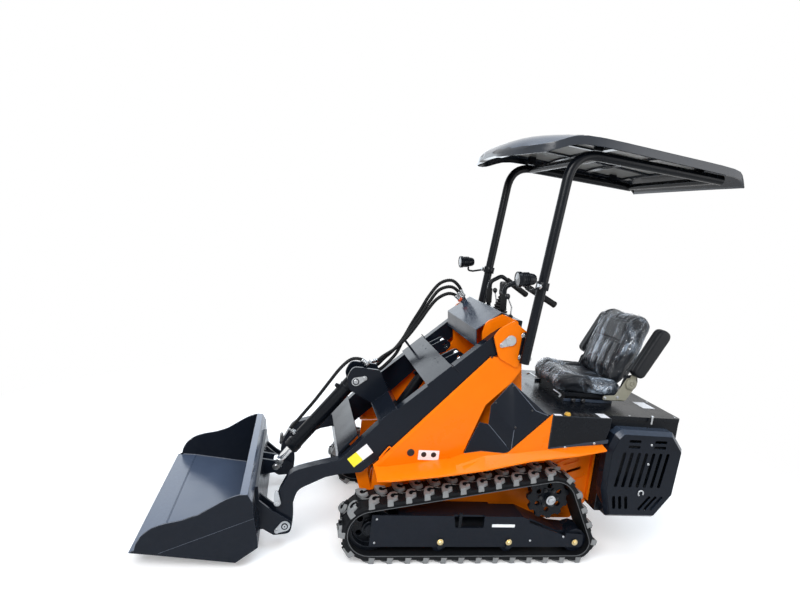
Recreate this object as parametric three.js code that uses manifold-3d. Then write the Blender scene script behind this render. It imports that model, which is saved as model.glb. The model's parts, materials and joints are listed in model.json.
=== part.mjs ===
// Ride-on mini skid steer loader on rubber tracks, with seat, canopy and bucket.
// Units are millimetres. +X points to the bucket, +Y to the driver's left, +Z up.
// The machine is drawn with x = 0 at the middle of the track's ground contact;
// the last lines move it so that its box is centred over the origin.

import * as THREE from 'three';
import { mergeVertices } from 'three/addons/utils/BufferGeometryUtils.js';
import { ConvexGeometry } from 'three/addons/geometries/ConvexGeometry.js';
import Module from 'manifold-3d';

const wasm = await Module();
wasm.setup();

// ---------------------------------------------------------------- driving sizes

const seatGap = 0.3;            // between pieces that touch
const runGap = 6;               // between pieces that pass each other
const plate = 8;                // chassis sheet
const heavyPlate = 12;          // tower and ear plates

// rubber tracks
const trackCentreY = 410;
const trackWidth = 180;
const beltThickness = 20;
const lugHeight = 28;
const trackThickness = beltThickness + lugHeight;
const frontIdler = { x: 598, r: 115 };
const rearIdler = { x: -512, r: 66 };
const sprocket = { x: -340, z: 338, r: 118 };
const wheelGap = 0.9;           // between a wheel and the faceted belt round it
const rollerTable = [            // x, radius of the bottom rollers
  { x: 237, r: 38 },
  { x: -132, r: 38 },
];

// boom and its pivot on the tower
const boomPivot = { x: -30, z: 1155 };
const boomOuterY = 350;
const boomBeamWidth = 52;
const boomSideGap = 5.5;        // between a beam and the plates on each side of it
const boomPinRadius = 20;
const bucketPin = { x: 1016, z: 126 };
const bucketPinRadius = 17;

// plates outside the boom and the canopy post outside them
const sidePlateOuterY = boomOuterY + boomSideGap + plate;
const towerPlateOuterY = sidePlateOuterY + seatGap + heavyPlate;

// cylinders
const liftCylinderY = 150;
const liftEyeHalf = 26;
const liftPinRadius = 18;
const liftStroke = 290;
const tiltStroke = 270;
const liftBase = { x: 545, z: 330 };
const liftEye = { x: 165, z: 1000 };
const tiltBase = { x: 697, z: 800 };
const tiltEye = { x: 1084, z: 288 };

// bucket
const bucketWidth = 1050;
const bucketSheet = 8;
const bucketTipX = 1700;

// tower, hull, engine bay
const hullStandOut = 2;         // how far the hull's walls reach out under the beams
const hullHalfWidth = boomOuterY - boomBeamWidth + hullStandOut;
const towerInnerY = hullHalfWidth - plate - heavyPlate;    // inner face of the inner tower plates
const rearBodyX = -1065;
const rearBodyHalfWidth = 405;
const deckZ = 795;
const consoleFrontX = -262;
const consoleRearX = -620;
const consoleOuterY = 450;
const gussetRearX = -281;
const gussetY = consoleOuterY + 0.6;

// canopy
const postTube = 50;
const postGap = 1.2;            // between a post and the tower plate inside it
const postY = towerPlateOuterY + postGap + postTube / 2;
const canopyHalfWidth = 490;
const canopyFrontX = 95;
const canopyRearX = -1120;
const roofZ = 2193;              // upper side edge of the roof at its highest

// seat
const seatWidth = 480;
const seatFrontX = -430;
const seatDeckZ = 848;
const seatHinge = { x: -825, z: 930 };
const cushionRearX = -790;

// hoses
const hoseRadius = 10;
const hoseClipX = 388;
const hoseClipZ = 985;

/** Hoses that leave the tower in loops, pass the clip and run down to the tilt bracket. */
const boomHoses = [
  [[49, -268, 1287], [82, -268, 1340], [135, -269, 1372], [205, -270, 1345], [262, -272, 1262],
    [300, -276, 1180], [345, -284, 1085], [hoseClipX, -290, hoseClipZ],
    [440, -272, 915], [505, -235, 862], [548, -170, 842], [588, -122, 838]],
  [[63, -250, 1277], [98, -250, 1318], [146, -250, 1334], [210, -252, 1306], [258, -254, 1232],
    [296, -258, 1158], [342, -264, 1070], [hoseClipX, -268, hoseClipZ + 1.4],
    [428, -250, 898], [490, -210, 836], [540, -158, 812], [582, -122, 808]],
  [[76, -232, 1264], [112, -232, 1290], [160, -232, 1292], [218, -233, 1256], [262, -235, 1194],
    [302, -238, 1122], [346, -242, 1046], [hoseClipX, -246, hoseClipZ - 0.5],
    [445, -238, 925], [512, -195, 890], [552, -140, 876], [594, -122, 868]],
];

// ---------------------------------------------------------------- materials

const paint = {
  orange: new THREE.MeshStandardMaterial({ color: 0xf57a10, roughness: 0.32, metalness: 0.1 }),
  charcoal: new THREE.MeshStandardMaterial({ color: 0x2b3038, roughness: 0.3, metalness: 0.35 }),
  black: new THREE.MeshStandardMaterial({ color: 0x15171a, roughness: 0.45, metalness: 0.2 }),
  rubber: new THREE.MeshStandardMaterial({ color: 0x1c1d1e, roughness: 0.85, metalness: 0 }),
  chrome: new THREE.MeshStandardMaterial({ color: 0xd8dadc, roughness: 0.12, metalness: 1 }),
  zinc: new THREE.MeshStandardMaterial({ color: 0xb4b6b2, roughness: 0.4, metalness: 0.9 }),
  vinyl: new THREE.MeshStandardMaterial({ color: 0x141517, roughness: 0.5, metalness: 0 }),
  plastic: new THREE.MeshStandardMaterial({ color: 0x1b1d20, roughness: 0.38, metalness: 0 }),
};

// ---------------------------------------------------------------- shape helpers

const group = new THREE.Group();

function addMesh(name, geometry, material) {
  const mesh = new THREE.Mesh(geometry, material);
  mesh.name = name;
  group.add(mesh);
  return mesh;
}

/** A closed three.js geometry as a manifold solid. */
function solid(geometry) {
  const bare = geometry.index ? geometry.toNonIndexed() : geometry.clone();
  bare.deleteAttribute('normal');
  bare.deleteAttribute('uv');
  const merged = mergeVertices(bare, 1e-4);
  return new wasm.Manifold(new wasm.Mesh({
    numProp: 3,
    vertProperties: new Float32Array(merged.attributes.position.array),
    triVerts: new Uint32Array(merged.index.array),
  }));
}

/** A manifold solid as a three.js geometry. */
function geometryOf(body) {
  const mesh = body.getMesh();
  const geometry = new THREE.BufferGeometry();
  const positions = new Float32Array(mesh.numVert * 3);
  for (let i = 0; i < mesh.numVert; i += 1) {
    for (let k = 0; k < 3; k += 1) positions[3 * i + k] = mesh.vertProperties[mesh.numProp * i + k];
  }
  geometry.setAttribute('position', new THREE.BufferAttribute(positions, 3));
  geometry.setIndex(new THREE.BufferAttribute(new Uint32Array(mesh.triVerts), 1));
  geometry.computeVertexNormals();
  return geometry;
}

const join = (...bodies) => bodies.reduce((sum, body) => sum.add(body));
const cut = (body, ...tools) => tools.reduce((rest, tool) => rest.subtract(tool), body);
const mirrorY = (body) => body.mirror([0, 1, 0]);

/** Points of an outline whose corners [u, v, radius] are rounded by arcs. */
function roundedOutline(corners, segments = 3) {
  const points = [];
  const count = corners.length;
  corners.forEach(([u, v, radius = 0], i) => {
    if (!radius) {
      points.push(new THREE.Vector2(u, v));
      return;
    }
    const here = new THREE.Vector2(u, v);
    const before = new THREE.Vector2(...corners[(i + count - 1) % count]).sub(here);
    const after = new THREE.Vector2(...corners[(i + 1) % count]).sub(here);
    const half = before.angleTo(after) / 2;
    const reach = Math.min(radius / Math.tan(half), before.length() * 0.49, after.length() * 0.49);
    const start = before.clone().setLength(reach);
    const end = after.clone().setLength(reach);
    for (let k = 0; k <= segments; k += 1) {
      const t = k / segments;
      points.push(new THREE.Vector2(
        u + start.x * (1 - t) * (1 - t) + end.x * t * t,
        v + start.y * (1 - t) * (1 - t) + end.y * t * t,
      ));
    }
  });
  return points;
}

function shapeOf(corners, holes = []) {
  const outline = roundedOutline(corners);
  const shape = new THREE.Shape(outline);
  holes.forEach((hole) => shape.holes.push(new THREE.Path(roundedOutline(hole))));
  return shape;
}

function circleCorners(u, v, r, sides = 16) {
  return Array.from({ length: sides }, (_, i) => {
    const a = (2 * Math.PI * i) / sides;
    return [u + r * Math.cos(a), v + r * Math.sin(a)];
  });
}

const extrude = (shape, depth) => new THREE.ExtrudeGeometry(shape, {
  depth, bevelEnabled: false, curveSegments: 10,
});

/** Plate with its outline in X and Z, from y0 to y1. */
function plateXZ(corners, y0, y1, holes = []) {
  const geometry = extrude(shapeOf(corners, holes), y1 - y0);
  geometry.rotateX(Math.PI / 2);
  geometry.translate(0, y1, 0);
  return solid(geometry);
}

/** Plate with its outline in X and Y, from z0 to z1. */
function plateXY(corners, z0, z1, holes = []) {
  const geometry = extrude(shapeOf(corners, holes), z1 - z0);
  geometry.translate(0, 0, z0);
  return solid(geometry);
}

function box(x0, x1, y0, y1, z0, z1) {
  const geometry = new THREE.BoxGeometry(x1 - x0, y1 - y0, z1 - z0);
  geometry.translate((x0 + x1) / 2, (y0 + y1) / 2, (z0 + z1) / 2);
  return solid(geometry);
}

/** Round bar between two points given as [x, y, z]. */
function bar(from, to, r, sides = 16, rEnd = r) {
  const a = new THREE.Vector3(...from);
  const b = new THREE.Vector3(...to);
  const geometry = new THREE.CylinderGeometry(rEnd, r, a.distanceTo(b), sides);
  const turn = new THREE.Quaternion().setFromUnitVectors(
    new THREE.Vector3(0, 1, 0), b.clone().sub(a).normalize(),
  );
  geometry.applyQuaternion(turn);
  const mid = a.clone().add(b).multiplyScalar(0.5);
  geometry.translate(mid.x, mid.y, mid.z);
  return solid(geometry);
}

const barY = (x, z, r, y0, y1, sides = 16) => bar([x, y0, z], [x, y1, z], r, sides);

/** Turned piece on a Y axis: profile rows are [radius, y]. */
function turnedY(x, z, profile, sides = 32) {
  const geometry = new THREE.LatheGeometry(profile.map(([r, y]) => new THREE.Vector2(r, y)), sides);
  geometry.translate(x, 0, z);
  return solid(geometry);
}

/** Round tube or bar along points, its corners eased by a radius. */
function tube(points, radius, bend, sides = 12, steps = 5) {
  const path = new THREE.CurvePath();
  const p = points.map((q) => new THREE.Vector3(...q));
  let start = p[0];
  for (let i = 1; i < p.length - 1; i += 1) {
    const back = p[i - 1].clone().sub(p[i]);
    const ahead = p[i + 1].clone().sub(p[i]);
    const reach = Math.min(bend, back.length() * 0.45, ahead.length() * 0.45);
    const from = p[i].clone().add(back.setLength(reach));
    const to = p[i].clone().add(ahead.setLength(reach));
    path.add(new THREE.LineCurve3(start, from));
    path.add(new THREE.QuadraticBezierCurve3(from, p[i], to));
    start = to;
  }
  path.add(new THREE.LineCurve3(start, p[p.length - 1]));
  const stations = [];
  path.curves.forEach((curve, i) => {
    const count = i % 2 ? steps : 1;
    for (let k = 0; k < count; k += 1) stations.push(curve.getPoint(k / count));
  });
  stations.push(p[p.length - 1]);
  return sweep(stations, radius, sides);
}

/** Round section swept through stations, as an extrusion along a path. */
function sweep(stations, radius, sides = 12) {
  const path = new THREE.CurvePath();
  for (let i = 1; i < stations.length; i += 1) {
    path.add(new THREE.LineCurve3(stations[i - 1], stations[i]));
  }
  path.getPoint = (t) => {
    const s = t * (stations.length - 1);
    const i = Math.min(Math.floor(s), stations.length - 2);
    return stations[i].clone().lerp(stations[i + 1], s - i);
  };
  path.getPointAt = path.getPoint;
  path.getTangent = (t) => {
    const i = Math.round(t * (stations.length - 1));
    const a = stations[Math.max(i - 1, 0)];
    const b = stations[Math.min(i + 1, stations.length - 1)];
    return b.clone().sub(a).normalize();
  };
  path.getTangentAt = path.getTangent;
  const section = new THREE.Shape(circleCorners(0, 0, radius, sides)
    .map(([u, v]) => new THREE.Vector2(u, v)));
  return solid(new THREE.ExtrudeGeometry(section, {
    steps: stations.length - 1, extrudePath: path, bevelEnabled: false,
  }));
}

/** Both sides of a piece drawn on the left. */
function addPair(name, body, material) {
  addMesh(`${name}_left`, geometryOf(body), material);
  addMesh(`${name}_right`, geometryOf(mirrorY(body)), material);
}

const hull = (points) => solid(new ConvexGeometry(points.map((q) => new THREE.Vector3(...q))));

// ---------------------------------------------------------------- undercarriage

const wheelCentres = {
  front: { x: frontIdler.x, z: frontIdler.r + trackThickness, r: frontIdler.r },
  drive: { x: sprocket.x, z: sprocket.z, r: sprocket.r },
  rear: { x: rearIdler.x, z: rearIdler.r + trackThickness, r: rearIdler.r },
};

/** Arcs and straights of the belt's inner face, anticlockwise seen from -Y. */
function beltPath() {
  const wheels = [wheelCentres.front, wheelCentres.drive, wheelCentres.rear];
  const normals = wheels.map((a, i) => {
    const b = wheels[(i + 1) % wheels.length];
    const length = Math.hypot(b.x - a.x, b.z - a.z);
    const [dx, dz] = [(b.x - a.x) / length, (b.z - a.z) / length];
    const along = (a.r - b.r) / length;
    const across = Math.sqrt(1 - along * along);
    return Math.atan2(dz * along - dx * across, dx * along + dz * across);
  });
  const pieces = [];
  wheels.forEach((wheel, i) => {
    const next = wheels[(i + 1) % wheels.length];
    const from = normals[(i + wheels.length - 1) % wheels.length];
    let to = normals[i];
    while (to < from) to += 2 * Math.PI;
    pieces.push({ wheel, from, to, length: (to - from) * wheel.r });
    const at = (w) => [w.x + w.r * Math.cos(to), w.z + w.r * Math.sin(to)];
    const [start, end] = [at(wheel), at(next)];
    pieces.push({ start, end, to, length: Math.hypot(end[0] - start[0], end[1] - start[1]) });
  });
  return pieces;
}

const beltPieces = beltPath();
const beltLength = beltPieces.reduce((sum, piece) => sum + piece.length, 0);

/** Point at a distance along the belt's inner face, moved outwards by offset. */
function beltPoint(distance, offset) {
  let s = ((distance % beltLength) + beltLength) % beltLength;
  for (const piece of beltPieces) {
    if (s <= piece.length) {
      if (piece.wheel) {
        const a = piece.from + s / piece.wheel.r;
        const r = piece.wheel.r + offset;
        return [piece.wheel.x + r * Math.cos(a), piece.wheel.z + r * Math.sin(a)];
      }
      const t = s / piece.length;
      return [
        piece.start[0] + (piece.end[0] - piece.start[0]) * t + offset * Math.cos(piece.to),
        piece.start[1] + (piece.end[1] - piece.start[1]) * t + offset * Math.sin(piece.to),
      ];
    }
    s -= piece.length;
  }
  return beltPoint(0, offset);
}

function rubberTrack() {
  const lugPitch = 72;
  const lugCount = Math.round(beltLength / lugPitch);
  const pitch = beltLength / lugCount;
  const lugRows = [            // distance from the lug's middle, height above the inner face
    [-0.30, beltThickness],
    [-0.20, trackThickness],
    [0.20, trackThickness],
    [0.30, beltThickness],
    [0.50, beltThickness],
  ];
  const outer = [];
  const inner = [];
  for (let i = 0; i < lugCount; i += 1) {
    lugRows.forEach(([share, height]) => outer.push(beltPoint((i + share) * pitch, height)));
    [0, 0.25, 0.5, 0.75].forEach((share) => inner.push(beltPoint((i + share) * pitch, 0)));
  }
  return plateXZ(outer, trackCentreY - trackWidth / 2, trackCentreY + trackWidth / 2, [inner]);
}

const frameHalfWidth = 66;
const frameSheet = 10;
const frameTopZ = 250;
const frameBottomZ = 82;
const frameFrontX = 600;
const frameTailRadius = 42;
const rollerZ = (r) => trackThickness + r + seatGap;

/** Upside-down channel that carries the rollers, with its rollers and bolts. */
function trackFrame() {
  const tail = wheelCentres.rear;
  const outline = [
    [frameFrontX, frameBottomZ], [frameFrontX, frameTopZ], [-193, frameTopZ, 30],
    [-400, frameTopZ - 84, 60], [tail.x, tail.z + frameTailRadius, 30],
    [tail.x - frameTailRadius, tail.z + frameTailRadius, 40],
    [tail.x - frameTailRadius, tail.z - frameTailRadius + 8, 40], [tail.x, frameBottomZ],
  ];
  const [y0, y1] = [trackCentreY - frameHalfWidth, trackCentreY + frameHalfWidth];
  const channel = plateXZ(outline, y0, y1);
  const inside = plateXZ([
    [frameFrontX + 10, frameBottomZ - 10], [frameFrontX + 10, frameTopZ - frameSheet],
    [-190, frameTopZ - frameSheet], [-400, frameTopZ - 84 - frameSheet],
    [tail.x - 80, tail.z + 10], [tail.x - 80, frameBottomZ - 10],
  ], y0 + frameSheet, y1 - frameSheet);
  const window = plateXZ([
    [180, 262], [15, 262], [15, 186, 8], [165, 186, 8],
  ], y1 - frameSheet - 5, y1 + 5);
  const rearFlare = plateXZ([
    [-235, 300], [-235, 216], [-450, 145], [-450, 300],
  ], y1 - 24, y1 + 5);
  const idlerSlot = box(frameFrontX - 135, frameFrontX + 20, y0 + frameSheet, y1 - frameSheet,
    200, frameTopZ + 10);
  let body = cut(channel, inside, window, rearFlare, idlerSlot);
  const wheels = [...rollerTable.map(({ x, r }) => ({ x, z: rollerZ(r), r })),
    { x: tail.x, z: tail.z, r: tail.r - wheelGap }];
  wheels.forEach(({ x, z, r }) => {
    const half = frameHalfWidth - frameSheet - 4;
    body = join(body,
      turnedY(x, z, [[0, -half], [r, -half], [r, -half * 0.4], [r * 0.7, -half * 0.4],
        [r * 0.7, half * 0.4], [r, half * 0.4], [r, half], [0, half]], 12)
        .translate(0, trackCentreY, 0),
      barY(x, z, 14, y0 + 2, y1 + 8, 10));
  });
  const innerArm = box(-60, 260, hullHalfWidth + seatGap, y0 + 1, 150, 236);
  return join(body, innerArm);
}

/** Spoked wheel at the front of the track. */
function idlerWheel() {
  const { x, z, r } = wheelCentres.front;
  const half = 44;
  const rim = r - wheelGap;
  let wheel = turnedY(x, z, [[0, -half], [40, -half], [40, -16], [rim - 26, -12], [rim - 20, -half],
    [rim, -half], [rim, half], [rim - 20, half], [rim - 26, 12], [40, 16], [40, half], [0, half]], 24);
  const spokes = 5;
  for (let i = 0; i < spokes; i += 1) {
    const a = (2 * Math.PI * (i + 0.5)) / spokes;
    wheel = wheel.subtract(barY(x + 64 * Math.cos(a), z + 64 * Math.sin(a), 17, -60, 60, 8));
  }
  const axle = barY(x, z, 16, -half - 8, half + 8, 12);
  return join(wheel, axle).translate(0, trackCentreY, 0);
}

/** Drive sprocket with its teeth, lightening holes, hub nut and motor. */
function driveSprocket() {
  const { x, z, r } = wheelCentres.drive;
  const teeth = 11;
  const outline = [];
  for (let i = 0; i < teeth; i += 1) {
    [[-0.34, r - 16], [-0.16, r - 1], [0.16, r - 1], [0.34, r - 16]].forEach(([share, radius]) => {
      const a = (2 * Math.PI * (i + share)) / teeth;
      outline.push([x + radius * Math.cos(a), z + radius * Math.sin(a)]);
    });
  }
  const faceY = trackCentreY + 24;
  let disc = plateXZ(outline, faceY - 20, faceY);
  const holes = 6;
  for (let i = 0; i < holes; i += 1) {
    const a = (2 * Math.PI * (i + 0.5)) / holes;
    disc = disc.subtract(barY(x + 66 * Math.cos(a), z + 66 * Math.sin(a), 15, faceY - 30, faceY + 10, 10));
  }
  const hub = barY(x, z, 42, faceY - 40, faceY + 6, 20);
  const nut = barY(x, z, 22, faceY, faceY + 30, 6);
  const motor = barY(x, z, 60, hullHalfWidth + seatGap, faceY - 38, 20);
  return join(disc, hub, nut, motor);
}

addPair('rubber_track', rubberTrack(), paint.rubber);
addPair('track_frame', trackFrame(), paint.charcoal);
addPair('front_idler', idlerWheel(), paint.black);
addPair('drive_sprocket', driveSprocket(), paint.black);

// ---------------------------------------------------------------- chassis

const fenderOuterY = 500;
const fenderFoldY = 455;
const fenderRows = [             // x, height of the fold, height of the outer edge
  [600, 452, 443], [530, 454, 445], [285, 496, 476], [200, 512, 490], [55, 568, 515],
  [-186, 601, 572], [-440, 635, 608], [-590, 650, 641],
];
const fenderFrontX = fenderRows[0][0];
const fenderRearX = fenderRows[fenderRows.length - 1][0];
const fenderSheet = 6;
const hullFrontX = 590;
const hullRearX = -640;
const hullBottomZ = 150;

/** Height of the fender's fold, which is also that of the flat sheet inside it. */
function fenderTop(x) {
  const next = Math.max(1, fenderRows.findIndex((row) => row[0] <= x));
  const last = fenderRows.length - 1;
  const [b, a] = x < fenderRearX
    ? [fenderRows[last], fenderRows[last - 1]] : [fenderRows[next], fenderRows[next - 1]];
  return a[1] + ((b[1] - a[1]) * (x - a[0])) / (b[0] - a[0]);
}

/** Corners along the fender's flat sheet between two values of x, from front to rear. */
function fenderLine(x0, x1, lift) {
  const between = fenderRows.map(([x]) => x).filter((x) => x < x0 && x > x1);
  return [x0, ...between, x1].map((x) => [x, fenderTop(x) + lift]);
}

const hullTopGap = -fenderSheet - seatGap;
const towerSlab = { y0: towerInnerY, y1: towerInnerY + heavyPlate };

/** Centre hull, inner tower plates and the brackets of the lift cylinders. */
function mainFrame() {
  const wall = plateXZ([
    [hullFrontX, hullBottomZ], ...fenderLine(hullFrontX, hullRearX, hullTopGap),
    [hullRearX, 250, 20], [-560, hullBottomZ, 20],
  ], hullHalfWidth - plate, hullHalfWidth);
  const inner = hullHalfWidth - plate + 1;
  const belly = box(-560, hullFrontX, -inner, inner, hullBottomZ, hullBottomZ + plate);
  const nose = box(hullFrontX - plate, hullFrontX, -inner, inner, hullBottomZ, 300);
  const tail = box(hullRearX, hullRearX + plate, -inner, inner, 250,
    fenderTop(hullRearX) + hullTopGap);
  const chute = plateXZ([
    [hullRearX, 250], [hullRearX + plate, 250], [-560, hullBottomZ + plate], [-560, hullBottomZ],
  ], -inner, inner);
  const cheek = plateXZ([
    [boomPivot.x + 125, boomPivot.z + 10, 40], [boomPivot.x + 112, boomPivot.z + 70, 40],
    [boomPivot.x + 26, boomPivot.z + 118, 20], [boomPivot.x - 60, boomPivot.z + 90, 20],
    [boomPivot.x - 96, boomPivot.z - 10, 20], [-200, 640], [-200, 440], [520, 300], [500, 420],
    [150, 850], [70, 1000],
  ], towerSlab.y0, hullHalfWidth - plate + 0.5,
  [circleCorners(boomPivot.x, boomPivot.z, boomPinRadius + seatGap)]);
  const backSheet = plateXZ([
    [boomPivot.x - 94, boomPivot.z - 12], [-198, 640], [-190, 640], [boomPivot.x - 86, boomPivot.z - 12],
  ], -towerSlab.y0 - 1, towerSlab.y0 + 1);
  const brace = box(-196, -120, -towerSlab.y0 - 1, towerSlab.y0 + 1, 560, 640);
  const ears = [-1, 1].flatMap((side) => [-1, 1].map((edge) => {
    const y = side * liftCylinderY + edge * 38;
    return plateXZ([
      [liftBase.x - 42, hullBottomZ + 2], [liftBase.x - 40, liftBase.z + 40, 30],
      [liftBase.x + 38, liftBase.z + 40, 30], [hullFrontX - 2, hullBottomZ + 2],
    ], y - 6, y + 6);
  }));
  const liftPins = [-1, 1].map((side) => barY(liftBase.x, liftBase.z, liftPinRadius,
    side * liftCylinderY - 40, side * liftCylinderY + 40));
  const rest = plateXZ([
    [588, 291], [638, 262], [690, 410], [636, 445],
  ], hullHalfWidth - 38, hullHalfWidth - plate + 0.5);
  return join(wall, mirrorY(wall), belly, nose, tail, chute, cheek, mirrorY(cheek), backSheet, brace,
    rest, mirrorY(rest), ...ears, ...liftPins);
}

/** Slanted outer plate beside the boom, its upper edge eased inwards, with a hoop and a hole. */
function sidePlate() {
  const y0 = boomOuterY + boomSideGap;
  const [ax, az, bx, bz] = [fenderFrontX + 4, fenderTop(fenderFrontX) + 2, 55, 1062];
  const body = plateXZ([
    [fenderFrontX - 2, fenderTop(fenderFrontX) + seatGap], [ax, az, 4], [bx, bz], [-70, 1056],
    [-118, 1010], [-75, 935], [52, 804, 30], [80, 717],
    ...fenderLine(fenderFrontX - 60, 140, seatGap).reverse(),
  ], y0, sidePlateOuterY, [circleCorners(417, 533, 15)]);
  const hoop = plateXZ([
    [541, 470], [580, 494, 8], [531, 563, 8], [485, 527],
  ], y0 + 1, y0 + 6.5, [[[541, 483], [500, 531], [530, 553], [568, 497]].reverse()]);
  const length = Math.hypot(bx - ax, bz - az);
  const fold = 26;
  const across = [(-(bz - az) / length) * -fold, ((bx - ax) / length) * fold];
  const ease = hull([
    [ax, sidePlateOuterY + 1, az], [bx, sidePlateOuterY + 1, bz],
    [ax, y0 + 1.5, az], [bx, y0 + 1.5, bz],
    [ax - across[0], sidePlateOuterY + 1, az - Math.abs(across[1])],
    [bx - across[0], sidePlateOuterY + 1, bz - Math.abs(across[1])],
  ]);
  return join(cut(body, ease), hoop);
}

/** Outer tower plate that takes the boom's pin and the canopy post. */
function towerPlate() {
  const y0 = sidePlateOuterY + seatGap;
  return plateXZ([
    [boomPivot.x + 92, boomPivot.z + 12, 30], [boomPivot.x + 62, boomPivot.z + 56, 16],
    [boomPivot.x - 4, boomPivot.z + 102, 16], [boomPivot.x - 86, boomPivot.z + 48, 16],
    [boomPivot.x - 60, boomPivot.z - 45], [boomPivot.x - 62, boomPivot.z - 148, 20],
    [boomPivot.x + 50, boomPivot.z - 95, 20],
  ], y0, y0 + heavyPlate, [circleCorners(boomPivot.x, boomPivot.z, boomPinRadius + seatGap)]);
}

/** Boom pin with its round head outside the tower plate. */
function boomPin() {
  const head = barY(boomPivot.x, boomPivot.z, boomPinRadius + 8,
    towerPlateOuterY + seatGap, towerPlateOuterY + 8);
  const shank = barY(boomPivot.x, boomPivot.z, boomPinRadius,
    towerSlab.y0 + 1, towerPlateOuterY + 4);
  return join(head, shank);
}

/** Fender over the track: flat sheet, sloping outer flange, and the gusset before the console. */
function fender() {
  const inner = hullHalfWidth + seatGap;
  const rings = fenderRows.map(([x, fold, edge]) => [
    [x, inner, fold], [x, fenderFoldY, fold], [x, fenderOuterY, edge],
    [x, fenderOuterY, edge - fenderSheet - 2], [x, fenderFoldY, fold - fenderSheet],
    [x, inner, fold - fenderSheet],
  ]);
  const gusset = plateXZ([
    [-62, fenderTop(-62) - 2], [gussetRearX, deckZ + 8], [gussetRearX, fenderTop(gussetRearX) - 2],
  ], gussetY, gussetY + fenderSheet);
  return join(loft(rings), gusset);
}

/** Folded grey cover between the tower plates. */
function towerCover() {
  const half = towerSlab.y0 - seatGap;
  const outer = [
    [118, 1090], [130, 1182, 8], [0, 1283, 8], [-44, 1268], [-42, 1262], [0, 1277, 8],
    [124, 1179, 8], [112, 1090],
  ];
  const stubs = boomHoses.map(([[x, y, z], [x2, , z2]]) => {
    const run = Math.hypot(x2 - x, z2 - z);
    const back = (d) => [x - ((x2 - x) / run) * d, y, z - ((z2 - z) / run) * d];
    return bar(back(46), back(4), hoseRadius - 1, 8);
  });
  return join(plateXZ(outer, -half, half), ...stubs);
}

addMesh('main_frame', geometryOf(mainFrame()), paint.orange);
addPair('side_plate', sidePlate(), paint.orange);
addPair('tower_plate', towerPlate(), paint.orange);
addPair('boom_pin', boomPin(), paint.zinc);
addPair('fender', fender(), paint.orange);
addMesh('tower_cover', geometryOf(towerCover()), paint.charcoal);

/** Slanted box beside the tower's foot, with the step plate that leans in front of it. */
function sideBox() {
  const y0 = sidePlateOuterY + seatGap;
  const y1 = gussetY - seatGap;
  const foot = (x) => fenderTop(x) + seatGap;
  const lid = [[23, y0, 804], [-75, y0, 935], [-187, y1, 817], [-85, y1, 706]];
  const rear = [consoleFrontX + seatGap, deckZ - 2];
  const body = hull([
    ...lid, [rear[0], y0, rear[1]], [rear[0], y1, rear[1]], [rear[0], y0, foot(rear[0])],
    [rear[0], y1, foot(rear[0])], [23, y0, foot(23)], [-85, y1, foot(-85)],
  ]);
  const step = hull([
    [72, y0, 713], [-62, y1, 592], [136, y0, foot(136)], [5, y0, 700], [-80, y1, 596],
    [55, y0, foot(55)], [-50, y1, foot(-50)],
  ]);
  const below = plateXZ([
    ...fenderLine(200, -300, seatGap), [-300, 400], [200, 400],
  ], y0 - 5, y1 + 5);
  return cut(join(body, step), below);
}

/** Console beside the seat, standing on the fender, its front corner cut off. */
function console() {
  const y0 = hullHalfWidth + seatGap;
  const base = plateXY([
    [consoleFrontX, y0], [consoleFrontX, consoleOuterY - 22], [consoleFrontX - 26, consoleOuterY],
    [consoleRearX, consoleOuterY], [consoleRearX, y0],
  ], 500, deckZ);
  const below = plateXZ([
    ...fenderLine(0, -700, seatGap), [-700, 400], [0, 400],
  ], y0 - 10, consoleOuterY + 10);
  const rearCut = plateXZ([
    [consoleRearX + 62, 500], [consoleRearX - 10, deckZ - 20], [consoleRearX - 30, 500],
  ], y0 - 10, consoleOuterY + 10);
  return cut(base, below, rearCut);
}

/** Deck under the seat and hood over the engine. */
function engineHood() {
  const half = hullHalfWidth - seatGap;
  const deck = box(-622, -215, -half, half, deckZ - 20, deckZ);
  const wide = rearBodyHalfWidth;
  const rear = plateXY([
    [-620.5, -wide], [-620.5, wide], [rearBodyX + 8, wide, 12], [rearBodyX, wide - 10, 12],
    [rearBodyX, -wide + 10, 12], [rearBodyX + 8, -wide, 12],
  ], deckZ - 20, deckZ);
  const skirtRear = box(rearBodyX, rearBodyX + 5, -wide + 12, wide - 12, deckZ - 130, deckZ - 5);
  return join(deck, rear, skirtRear);
}

/** Engine bay below the hood. */
function engineHousing() {
  const half = rearBodyHalfWidth - 6;
  return box(rearBodyX + 6, hullRearX - seatGap, -half, half, 250, deckZ - 20 - seatGap);
}

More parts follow.
